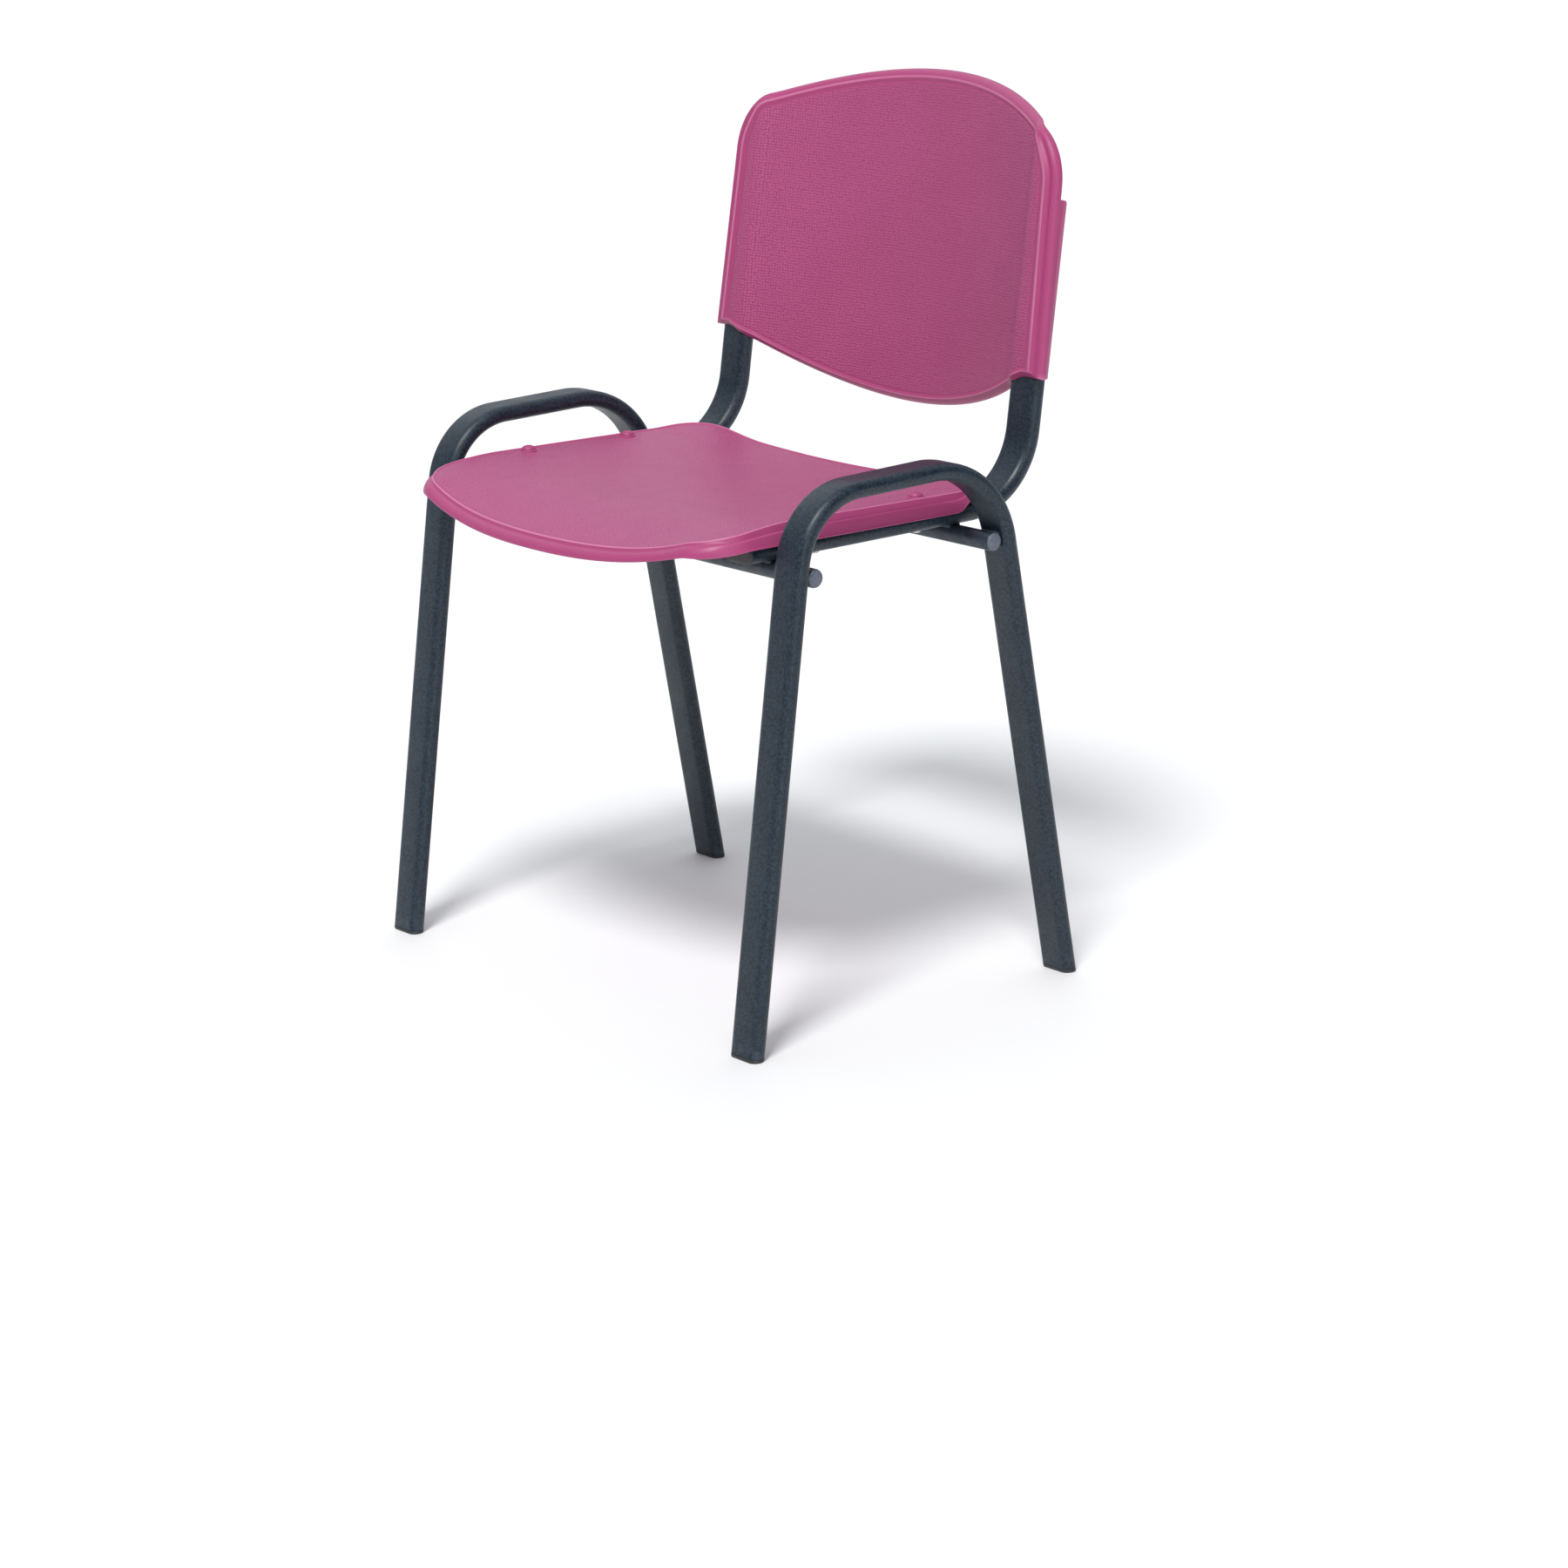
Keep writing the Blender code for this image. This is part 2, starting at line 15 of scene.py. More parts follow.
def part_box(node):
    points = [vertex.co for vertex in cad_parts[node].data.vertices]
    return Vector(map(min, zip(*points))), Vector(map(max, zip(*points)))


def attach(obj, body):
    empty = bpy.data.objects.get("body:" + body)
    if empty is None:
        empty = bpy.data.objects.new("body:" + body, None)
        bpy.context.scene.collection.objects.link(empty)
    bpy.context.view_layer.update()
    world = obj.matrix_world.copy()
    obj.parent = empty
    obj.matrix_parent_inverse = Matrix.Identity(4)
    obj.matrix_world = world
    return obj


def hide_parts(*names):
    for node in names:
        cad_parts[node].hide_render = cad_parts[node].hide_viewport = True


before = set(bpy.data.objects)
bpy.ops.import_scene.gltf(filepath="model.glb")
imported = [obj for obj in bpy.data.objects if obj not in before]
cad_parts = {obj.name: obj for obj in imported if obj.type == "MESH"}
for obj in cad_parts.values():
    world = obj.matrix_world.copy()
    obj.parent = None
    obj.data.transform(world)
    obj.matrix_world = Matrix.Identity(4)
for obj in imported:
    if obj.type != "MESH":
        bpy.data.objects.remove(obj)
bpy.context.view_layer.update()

MM = 0.001
GAP = 0.3                       # clearance between two pieces


# ---------------------------------------------------------------- sizes, from the frame

def box_mm(node):
    low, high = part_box(node)
    return low / MM, high / MM


def centre_mm(node):
    low, high = box_mm(node)
    return (low + high) / 2


LOOP_LOW, LOOP_HIGH = box_mm("right_side_loop")
SEAT_TUBE_LOW, SEAT_TUBE_HIGH = box_mm("right_seat_back_tube")
CROSS_LOW, CROSS_HIGH = box_mm("front_cross_tube")

# flat-oval tube
TUBE_WIDE = LOOP_HIGH.x - LOOP_LOW.x
TUBE_THICK = 15.0
WALL = 1.5
OVAL_STEPS = 16                 # segments in each half round

# side loop
LOOP_X = (LOOP_LOW.x + LOOP_HIGH.x) / 2
FOOT_Y = 176.0
GLIDE_FLANGE = LOOP_LOW.z - GAP
FRONT_TOP = (-107.0, 461.5, 65.0)        # y, z, bend radius
REAR_TOP = (99.0, 466.0, 80.0)

# seat and back tube
SEAT_TUBE_X = (SEAT_TUBE_LOW.x + SEAT_TUBE_HIGH.x) / 2
SEAT_TUBE_Z = SEAT_TUBE_LOW.z + TUBE_THICK / 2
SEAT_TUBE_FRONT = -130.0
Y_SHIFT = SEAT_TUBE_LOW.y - SEAT_TUBE_FRONT       # from the middle of the feet to the origin
BEND_Y = 173.5
BEND_RADIUS = 73.0
RECLINE = radians(9.2)
UPRIGHT_LENGTH = 246.0

# cross tubes
CROSS_RADIUS = (CROSS_HIGH.z - CROSS_LOW.z) / 2
CROSS_END = CROSS_HIGH.x
WELD_BACK = 1.0                 # how far a bead's middle lies behind the line of contact
WELD_REACH = 4.8                # and how far to the side of it
WELD_HALF = 11.0
WELD_RADIUS = 2.1

# seat shell
SEAT_HALF = 211.0
SEAT_REAR = 145.0
SEAT_FRONT = -191.0
SEAT_BOW = 0.00056              # front edge bows back by this much times x squared
SEAT_WALL = 4.0
SEAT_CORNERS = (45.0, 50.0)     # outline radii, front and rear
SEAT_CORNER_X = 175.0           # the front corners' rounding starts about here
SEAT_SIDE_Z = 433.0             # height of the side edges at y = 0
SEAT_SIDE_SLOPE = 0.019         # they rise this much per unit towards the front
SEAT_DISH = 9.0
SEAT_DISH_HALF = 205.0
SEAT_NOSE_LENGTH = 90.0         # the front part that curves down
SEAT_NOSE_DROP = 21.5
SEAT_CURL = 4.8                 # the rear corners turn up
SEAT_CURL_Y = (95.0, 50.0)      # where that starts, and over what length
SEAT_CURL_X = (110.0, 80.0)
SEAT_RIM_Z = 416.2              # lower edge of the turned-down rim at y = 0
SEAT_RIM_SLOPE = 0.011
SEAT_RIM_DROP = 22.0            # its drop at the front
SEAT_RIM_DROP_Y = (128.0, 40.0)  # counted towards the front
SEAT_RIM_REAR = 5.0             # its depth along the rear edge
SEAT_RIM_REAR_Y = (92.0, 18.0)
SEAT_FACE_LIFT = (0.5, 4.0)     # share of the front drop that is lost at the corners, and its power
SEAT_RIM_LIFT = (0.8, 2.6)
SEAT_LIFT_HALF = 180.0
SEAT_BUMP_RADIUS = 7.5
SEAT_BUMP_HEIGHT = 5.0
SEAT_SCREWS = [end + "_" + side + "_seat_screw" for end in ("front", "rear") for side in ("left", "right")]

# back shell, in the plane of the uprights: x across, s up the upright, w forward
BACK_HALF = 216.7
BACK_FLARE = 5.3
BACK_TOP = 357.4
BACK_BOTTOM = 61.7
BACK_ARCH = 0.0011
BACK_ARCH_HALF = 200.0          # past this the lower edge runs level
BACK_CORNER = 58.0
BACK_CORNER_X = 175.0
BACK_HOLLOW = -38.0
BACK_HOLLOW_HALF = 184.0
BACK_HOLLOW_EDGE = 7.0
BACK_BAND = (174.0, 18.0)
BACK_FACE = 11.5
BACK_WALL = 4.0
SLEEVE_BOTTOM = 106.0
SLEEVE_TOP = 258.0
SLEEVE_WIDE = 39.0
SLEEVE_REAR = -9.6
SLEEVE_ROUND = 9.5
POCKET_TOP = UPRIGHT_LENGTH + 2.0
BACK_SCREW_S = 180.0


# ---------------------------------------------------------------- outlines and paths

def ease(t):
    t = min(max(t, 0.0), 1.0)
    return t * t * (3 - 2 * t)


def oval(half_wide, half_thick, steps=OVAL_STEPS):
    """Flat-oval section: half rounds joined by flats, as (across, through) pairs."""
    flat = half_wide - half_thick
    points = []
    for side, start in ((1, -pi / 2), (-1, pi / 2)):
        for i in range(steps + 1):
            angle = start + pi * i / steps
            points.append((side * flat + half_thick * cos(angle), half_thick * sin(angle)))
    return points


def circle(radius, steps=48):
    return [(radius * cos(2 * pi * i / steps), radius * sin(2 * pi * i / steps)) for i in range(steps)]


def fillet(corner, before, after, radius, steps):
    """Points of the arc that rounds one corner of a path."""
    corner, before, after = Vector(corner), Vector(before), Vector(after)
    u, v = (before - corner).normalized(), (after - corner).normalized()
    half = acos(max(-1.0, min(1.0, u.dot(v)))) / 2
    middle = corner + (u + v).normalized() * (radius / sin(half))
    start = corner + u * (radius / tan(half)) - middle
    stop = corner + v * (radius / tan(half)) - middle
    a0 = atan2(start.y, start.x)
    turn = (atan2(stop.y, stop.x) - a0 + pi) % (2 * pi) - pi
    return [middle + Vector((cos(a0 + turn * i / steps), sin(a0 + turn * i / steps))) * radius
            for i in range(steps + 1)]


def resample(points, count):
    """count + 1 points at even distances along an open line; further numbers in them go along."""
    lengths = [0.0]
    for a, b in zip(points, points[1:]):
        lengths.append(lengths[-1] + (b.xy - a.xy).length)
    out, k = [], 0
    for i in range(count + 1):
        target = lengths[-1] * i / count
        while k < len(points) - 2 and lengths[k + 1] < target:
            k += 1
        t = (target - lengths[k]) / max(lengths[k + 1] - lengths[k], 1e-9)
        out.append(points[k].lerp(points[k + 1], min(max(t, 0.0), 1.0)))
    return out


def bent_path(points, bend_steps=30, straight_step=12.0):
    """points: (y, z) or (y, z, radius); ends have no radius."""
    legs = [[Vector(points[0][:2])]]
    for i in range(1, len(points) - 1):
        arc = fillet(points[i][:2], points[i - 1][:2], points[i + 1][:2], points[i][2], bend_steps)
        legs.append(arc)
    legs.append([Vector(points[-1][:2])])
    path = list(legs[0])
    for before, after in zip(legs, legs[1:]):
        reach = (after[0] - before[-1]).length
        path += resample([before[-1], after[0]], max(1, round(reach / straight_step)))[1:-1]
        path += after
    return path


def smooth_curve(points, per_span):
    """Cubic B-spline near its control points, which are vectors of any one size; the ends are held."""
    held = [points[0] * 2 - points[1]] + points + [points[-1] * 2 - points[-2]]
    out = []
    for i in range(1, len(held) - 2):
        for k in range(per_span):
            t = k / per_span
            out.append((held[i - 1] * (1 - t) ** 3 + held[i] * (3 * t ** 3 - 6 * t * t + 4)
                        + held[i + 1] * (1 + 3 * t + 3 * t * t - 3 * t ** 3) + held[i + 2] * t ** 3) / 6)
    return out + [points[-1]]


# ---------------------------------------------------------------- mesh helpers

def stack(rings, closed=False):
    """Vertices and faces of equal rings joined one after another, capped or joined back round."""
    size = len(rings[0])
    verts = [p for ring in rings for p in ring]
    faces = []
    for r in range(len(rings) if closed else len(rings) - 1):
        a, b = r * size, (r + 1) % len(rings) * size
        faces += [(a + i, a + (i + 1) % size, b + (i + 1) % size, b + i) for i in range(size)]
    if not closed:
        faces += [tuple(range(size)), tuple(range(len(verts) - size, len(verts)))]
    return verts, faces


def add_mesh(name, geometry, materials, tags=None, sharp=38.0):
    verts, faces = geometry
    mesh = bpy.data.meshes.new(name)
    mesh.from_pydata([Vector(v) * MM for v in verts], [], faces)
    for material in materials:
        mesh.materials.append(material)
    if tags:
        mesh.polygons.foreach_set("material_index", tags)
    obj = bpy.data.objects.new(name, mesh)
    bpy.context.scene.collection.objects.link(obj)
    shade(obj, sharp)
    return obj


def shade(obj, sharp):
    """Outward faces, smooth apart from edges sharper than the angle, in degrees."""
    bm = bmesh.new()
    bm.from_mesh(obj.data)
    bmesh.ops.recalc_face_normals(bm, faces=bm.faces)
    bm.to_mesh(obj.data)
    bm.free()
    obj.data.polygons.foreach_set("use_smooth", [True] * len(obj.data.polygons))
    obj.data.set_sharp_from_angle(angle=radians(sharp))


def combine(obj, other, operation):
    """Exact boolean; the other mesh is used up."""
    modifier = obj.modifiers.new(operation.lower(), "BOOLEAN")
    modifier.operation = operation
    modifier.solver = "EXACT"
    modifier.object = other
    depsgraph = bpy.context.evaluated_depsgraph_get()
    result = bpy.data.meshes.new_from_object(obj.evaluated_get(depsgraph))
    obj.modifiers.clear()
    old, obj.data = obj.data, result
    bpy.data.meshes.remove(old)
    spare = other.data
    bpy.data.objects.remove(other)
    bpy.data.meshes.remove(spare)


def place(obj, node):
    """obj rides on the chair and stands for a CAD node, whose own mesh is hidden."""
    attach(obj, "root")
    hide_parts(node)


# ---------------------------------------------------------------- materials

def new_material(name, roughness, metallic=0.0, specular=0.5):
    material = bpy.data.materials.new(name)
    material.use_nodes = True
    shader = material.node_tree.nodes["Principled BSDF"]
    shader.inputs["Roughness"].default_value = roughness
    shader.inputs["Metallic"].default_value = metallic
    shader.inputs["Specular IOR Level"].default_value = specular
    return material, Nodes(material.node_tree), shader


class Nodes:
    """Short calls for the few node kinds the materials use."""

    def __init__(self, tree):
        self.tree = tree
        self.coords = tree.nodes.new("ShaderNodeTexCoord").outputs["Object"]

    def link(self, output, socket):
        self.tree.links.new(output, socket)

    def mapped(self, rotation=(0.0, 0.0, 0.0), scale=(1.0, 1.0, 1.0)):
        node = self.tree.nodes.new("ShaderNodeMapping")
        node.inputs["Rotation"].default_value = rotation
        node.inputs["Scale"].default_value = scale
        self.link(self.coords, node.inputs["Vector"])
        return node.outputs["Vector"]

    def noise(self, size, detail=2.0, coords=None, roughness=0.5):
        """Noise whose blobs are about size millimetres across."""
        node = self.tree.nodes.new("ShaderNodeTexNoise")
        node.inputs["Scale"].default_value = 1.0 / (size * MM)
        node.inputs["Detail"].default_value = detail
        node.inputs["Roughness"].default_value = roughness
        self.link(coords or self.coords, node.inputs["Vector"])
        return node.outputs["Fac"]

    def ranged(self, value, low, high, out_low, out_high, smooth=False):
        node = self.tree.nodes.new("ShaderNodeMapRange")
        node.interpolation_type = "SMOOTHSTEP" if smooth else "LINEAR"
        limits = {"From Min": low, "From Max": high, "To Min": out_low, "To Max": out_high}
        for name, number in limits.items():
            node.inputs[name].default_value = number
        self.link(value, node.inputs["Value"])
        return node.outputs["Result"]

    def mix(self, factor, first, second):
        """Mixes two colours; each is a linear RGB triple or a node's output."""
        node = self.tree.nodes.new("ShaderNodeMix")
        node.data_type = "RGBA"
        self.link(factor, node.inputs["Factor"])
        sockets = [s for s in node.inputs if s.type == "RGBA"]
        for socket, colour in zip(sockets, (first, second)):
            if isinstance(colour, tuple):
                socket.default_value = (*colour, 1.0)
            else:
                self.link(colour, socket)
        return [s for s in node.outputs if s.type == "RGBA"][0]

    def math(self, operation, first, second):
        node = self.tree.nodes.new("ShaderNodeMath")
        node.operation = operation
        for socket, value in zip(node.inputs, (first, second)):
            if isinstance(value, (int, float)):
                socket.default_value = value
            else:
                self.link(value, socket)
        return node.outputs["Value"]

    def bump(self, height, depth, normal=None):
        """depth is the height, in millimetres, of a full step."""
        node = self.tree.nodes.new("ShaderNodeBump")
        node.inputs["Distance"].default_value = depth * MM
        self.link(height, node.inputs["Height"])
        if normal is not None:
            self.link(normal, node.inputs["Normal"])
        return node.outputs["Normal"]

    def edges(self, low, high):
        """0 on flat areas to 1 on outside edges."""
        node = self.tree.nodes.new("ShaderNodeNewGeometry")
        return self.ranged(node.outputs["Pointiness"], low, high, 0.0, 1.0)

    def warped(self, coords, size, amount):
        """Coordinates shifted by up to about amount millimetres, in waves of the given size."""
        node = self.tree.nodes.new("ShaderNodeTexNoise")
        node.inputs["Scale"].default_value = 1.0 / (size * MM)
        self.link(coords, node.inputs["Vector"])
        shift = self.tree.nodes.new("ShaderNodeVectorMath")
        shift.operation = "MULTIPLY_ADD"
        shift.inputs[1].default_value = (amount * MM,) * 3
        self.link(node.outputs["Color"], shift.inputs[0])
        self.link(coords, shift.inputs[2])
        return shift.outputs["Vector"]

    def pips(self, pitch, rotation, scatter):
        """1 on top of each moulded pip, 0 between them; they lie in the XY plane after the rotation."""
        node = self.tree.nodes.new("ShaderNodeTexVoronoi")
        node.voronoi_dimensions = "2D"
        node.inputs["Scale"].default_value = 1.0 / (pitch * MM)
        node.inputs["Randomness"].default_value = scatter
        self.link(self.warped(self.mapped(rotation), 9.0, 3.0), node.inputs["Vector"])
        return self.ranged(node.outputs["Distance"], 0.18, 0.55, 1.0, 0.0, smooth=True)


BURGUNDY = (0.45, 0.085, 0.225)
BURGUNDY_DEEP = (0.38, 0.062, 0.18)
# painted shade: colour laid into the valleys between the pips
BURGUNDY_VALLEY_SHADE = (0.24, 0.030, 0.105)
# outside edges: scuffed whitening together with a painted highlight on the lips
BURGUNDY_EDGE_SCUFF_AND_HIGHLIGHT = (0.62, 0.21, 0.37)
# painted highlight along the raised line round each panel
BURGUNDY_RIDGE_HIGHLIGHT = (0.56, 0.17, 0.32)
BURGUNDY_SMOOTH = (0.37, 0.050, 0.162)


def plastic(name, pips=None, body=BURGUNDY):
    """Moulded polypropylene. pips: (pitch, rotation, scatter) of a textured panel."""
    material, nodes, shader = new_material(name, roughness=0.42, specular=0.38)
    cloud = nodes.ranged(nodes.noise(70.0, detail=3.0), 0.3, 0.7, 0.0, 0.35)
    colour = nodes.mix(cloud, body, BURGUNDY_DEEP)
    grain = nodes.noise(0.8, detail=3.0)
    normal = nodes.bump(grain, 0.02)
    if pips:
        tops = nodes.pips(*pips)
        # the valleys between the pips are darkened in colour: painted shade
        valley_shade = nodes.ranged(tops, 0.0, 1.0, 0.55, 0.0)
        colour = nodes.mix(valley_shade, colour, BURGUNDY_VALLEY_SHADE)
        normal = nodes.bump(tops, 0.25, normal)
    else:
        # outside edges made paler: partly scuffed whitening, partly a painted highlight on the rims' lips
        colour = nodes.mix(nodes.edges(0.52, 0.62), colour, BURGUNDY_EDGE_SCUFF_AND_HIGHLIGHT)
    nodes.link(colour, shader.inputs["Base Color"])
    nodes.link(nodes.ranged(nodes.noise(18.0, detail=4.0), 0.3, 0.7, 0.4, 0.46), shader.inputs["Roughness"])
    nodes.link(normal, shader.inputs["Normal"])
    return material


COAT_DARK = (0.003, 0.009, 0.017)
COAT_PALE = (0.017, 0.032, 0.050)
COAT_RUBBED = (0.045, 0.065, 0.09)


def powder_coat(name):
    """Satin dark coating with a fine orange peel, rubbed a little along the edges."""
    material, nodes, shader = new_material(name, roughness=0.4, specular=0.42)
    speckle = nodes.ranged(nodes.noise(2.0, detail=3.0), 0.38, 0.62, 0.0, 1.0)
    colour = nodes.mix(speckle, COAT_DARK, COAT_PALE)
    rub = nodes.math("MULTIPLY", nodes.edges(0.51, 0.56), nodes.ranged(nodes.noise(9.0), 0.4, 0.7, 0.0, 0.6))
    colour = nodes.mix(rub, colour, COAT_RUBBED)
    nodes.link(colour, shader.inputs["Base Color"])
    nodes.link(nodes.ranged(nodes.noise(25.0, detail=4.0), 0.3, 0.7, 0.34, 0.48), shader.inputs["Roughness"])
    nodes.link(nodes.bump(nodes.noise(1.6, detail=3.0), 0.06), shader.inputs["Normal"])
    return material


def hard_plastic(name, dark, light, roughness, grain=0.03):
    """Small moulded parts: plugs and glides."""
    material, nodes, shader = new_material(name, roughness=roughness)
    colour = nodes.mix(nodes.ranged(nodes.noise(3.0, detail=4.0), 0.3, 0.7, 0.0, 1.0), dark, light)
    nodes.link(colour, shader.inputs["Base Color"])
    nodes.link(nodes.ranged(nodes.noise(2.0, detail=3.0), 0.3, 0.7, roughness - 0.06, roughness + 0.08),
               shader.inputs["Roughness"])
    nodes.link(nodes.bump(nodes.noise(0.6, detail=3.0), grain), shader.inputs["Normal"])
    return material


def zinc_steel(name):
    """Plated screws: pale metal with a yellow tint in patches and fine turning marks."""
    material, nodes, shader = new_material(name, roughness=0.3, metallic=1.0)
    tint = nodes.ranged(nodes.noise(2.5, detail=3.0), 0.4, 0.7, 0.0, 0.8)
    colour = nodes.mix(tint, (0.60, 0.61, 0.63), (0.55, 0.49, 0.34))
    nodes.link(colour, shader.inputs["Base Color"])
    nodes.link(nodes.ranged(nodes.noise(0.5, detail=4.0), 0.3, 0.7, 0.2, 0.42), shader.inputs["Roughness"])
    nodes.link(nodes.bump(nodes.noise(0.3), 0.01), shader.inputs["Normal"])
    return material


SEAT_PIPS = (2.4, (0.0, 0.0, radians(45.0)), 0.25)
BACK_PIPS = (2.5, (RECLINE - pi / 2, 0.0, 0.0), 0.3)

plastic_smooth = plastic("plastic_smooth", body=BURGUNDY_SMOOTH)
# material of the raised line round each panel, made paler: a painted highlight
plastic_ridge_highlight = plastic("plastic_ridge_highlight", body=BURGUNDY_RIDGE_HIGHLIGHT)
plastic_seat_panel = plastic("plastic_seat_panel", SEAT_PIPS)
plastic_back_panel = plastic("plastic_back_panel", BACK_PIPS)
coat = powder_coat("powder_coat")
glide_black = hard_plastic("glide_black", (0.022, 0.022, 0.024), (0.04, 0.04, 0.043), 0.55)
plug_grey = hard_plastic("plug_grey", (0.085, 0.10, 0.135), (0.13, 0.15, 0.19), 0.4)
steel = zinc_steel("zinc_steel")


# ---------------------------------------------------------------- tubes

def path_rings(path, x, section, cut_z=None):
    """Rings of a section carried along a (y, z) path; cut_z trims both ends level."""
    rings = []
    for i, point in enumerate(path):
        before, after = path[max(i - 1, 0)], path[min(i + 1, len(path) - 1)]
        along = (after - before).normalized()
        if 0 < i < len(path) - 1:
            along = ((point - before).normalized() + (after - point).normalized()).normalized()
        normal = Vector((-along.y, along.x))
        ring = []
        for across, through in section:
            p = point + normal * through
            if cut_z is not None and i in (0, len(path) - 1):
                p = p + along * ((cut_z - p.y) / along.y)
            ring.append((x + across, p.x + Y_SHIFT, p.y))
        rings.append(ring)
    return rings


def hollow_tube(node, path, x, cut_z=None):
    """Tube wall: the outer skin from end to end, then the inner skin back."""
    outer = path_rings(path, x, oval(TUBE_WIDE / 2, TUBE_THICK / 2), cut_z)
    inner = path_rings(path, x, oval(TUBE_WIDE / 2 - WALL, TUBE_THICK / 2 - WALL), cut_z)
    place(add_mesh(node + "_shown", stack(outer + inner[::-1], closed=True), [coat]), node)


def upright_point(s, w=0.0):
    """(y, z) of the point s up the upright and w in front of its centre line."""
    return (BEND_Y + s * sin(RECLINE) - w * cos(RECLINE), SEAT_TUBE_Z + s * cos(RECLINE) + w * sin(RECLINE))


def on_back(x, s, w):
    y, z = upright_point(s, w)
    return (x, y + Y_SHIFT, z)


LOOP_PATH = bent_path([(-FOOT_Y, 0.0), FRONT_TOP, REAR_TOP, (FOOT_Y, 0.0)])
SEAT_TUBE_PATH = bent_path([(SEAT_TUBE_FRONT, SEAT_TUBE_Z), (BEND_Y, SEAT_TUBE_Z, BEND_RADIUS),
                            upright_point(UPRIGHT_LENGTH)])


def bead(middle, half_length, radius):
    """Short weld bead along X: a lumpy round bar with tapered ends."""
    rings = []
    steps = 36
    for i in range(steps + 1):
        t = -1 + 2 * i / steps
        taper = max(0.0, 1 - t ** 6) ** 0.5
        ripple = 1 + 0.1 * abs(sin(t * half_length * 1.3))
        r = radius * (0.15 + 0.85 * taper) * ripple
        x = middle[0] + t * half_length
        rings.append([(x, middle[1] + a, middle[2] + b) for a, b in circle(r, 14)])
    return stack(rings)


def merge(parts):
    verts, faces = [], []
    for more_verts, more_faces in parts:
        faces += [tuple(i + len(verts) for i in face) for face in more_faces]
        verts += more_verts
    return verts, faces


def cross_tube(node, corner, sign):
    """Round tube with weld beads where it meets the legs and the seat tubes."""
    centre = centre_mm(node)

    def ring(x, radius):
        return [(x, centre.y + a, centre.z + b) for a, b in circle(radius)]

    inner = CROSS_RADIUS - WALL
    profile = [(-CROSS_END, inner), (-CROSS_END, CROSS_RADIUS - 0.4), (-CROSS_END + 0.4, CROSS_RADIUS),
               (CROSS_END - 0.4, CROSS_RADIUS), (CROSS_END, CROSS_RADIUS - 0.4), (CROSS_END, inner)]
    tube = stack([ring(x, r) for x, r in profile], closed=True)
    place(add_mesh(node + "_shown", tube, [coat]), node)

    slope = (corner[0] - sign * FOOT_Y) / corner[1]
    along_leg = Vector((0.0, slope, 1.0)).normalized()
    to_leg = Vector((0.0, sign, -sign * slope)).normalized()
    up, back = Vector((0.0, 0.0, 1.0)), Vector((0.0, 1.0, 0.0))
    beads = []
    for side in (-1, 1):
        for x, toward, along in ((LOOP_X, to_leg, along_leg), (SEAT_TUBE_X, up, back)):
            middle = Vector((side * x, centre.y, centre.z)) + toward * (CROSS_RADIUS - WELD_BACK)
            for way in (-1, 1):
                beads.append(bead(middle + along * way * WELD_REACH, WELD_HALF, WELD_RADIUS))
    welds = add_mesh(node + "_welds", merge(beads), [coat])
    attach(welds, "root")


# ---------------------------------------------------------------- plugs, glides and screws

def leg_glide(node, x, sign):
    """Flange under the tube, hollow below, and an insert inside the tube."""
    corner = FRONT_TOP if sign < 0 else REAR_TOP
    slope = (corner[0] - sign * FOOT_Y) / corner[1]
    stretch = hypot(1.0, slope)
    core = WALL + GAP
    profile = [(5.2, 0.8), (4.6, 0.7), (4.2, 0.0), (1.7, 0.0), (0.9, 0.15), (0.35, 0.5), (0.05, 1.0),
               (0.0, 1.6), (0.0, GLIDE_FLANGE - 0.4), (0.12, GLIDE_FLANGE - 0.1), (0.4, GLIDE_FLANGE),
               (core, GLIDE_FLANGE), (core, 21.0), (core + 0.3, 22.5), (core + 1.0, 24.0)]
    rings = []
    for inset, z in profile:
        section = oval(TUBE_WIDE / 2 - inset, TUBE_THICK / 2 - inset)
        rings.append([(x + a, Y_SHIFT + sign * FOOT_Y + slope * z + b * stretch, z) for a, b in section])
    place(add_mesh(node + "_shown", stack(rings), [glide_black]), node)


def seat_tube_plug(node, x):
    """Closes the front end of a seat tube."""
    core, end = WALL + GAP, SEAT_TUBE_FRONT - GAP
    profile = [(3.0, end - 2.5), (1.6, end - 2.4), (0.8, end - 2.0), (0.25, end - 1.3), (0.0, end - 0.5),
               (0.0, end), (core, end), (core, end + 14.0), (core + 1.0, end + 16.0)]
    rings = []
    for inset, y in profile:
        section = oval(TUBE_WIDE / 2 - inset, TUBE_THICK / 2 - inset)
        rings.append([(x + a, y + Y_SHIFT, SEAT_TUBE_Z + b) for a, b in section])
    place(add_mesh(node + "_shown", stack(rings), [glide_black]), node)


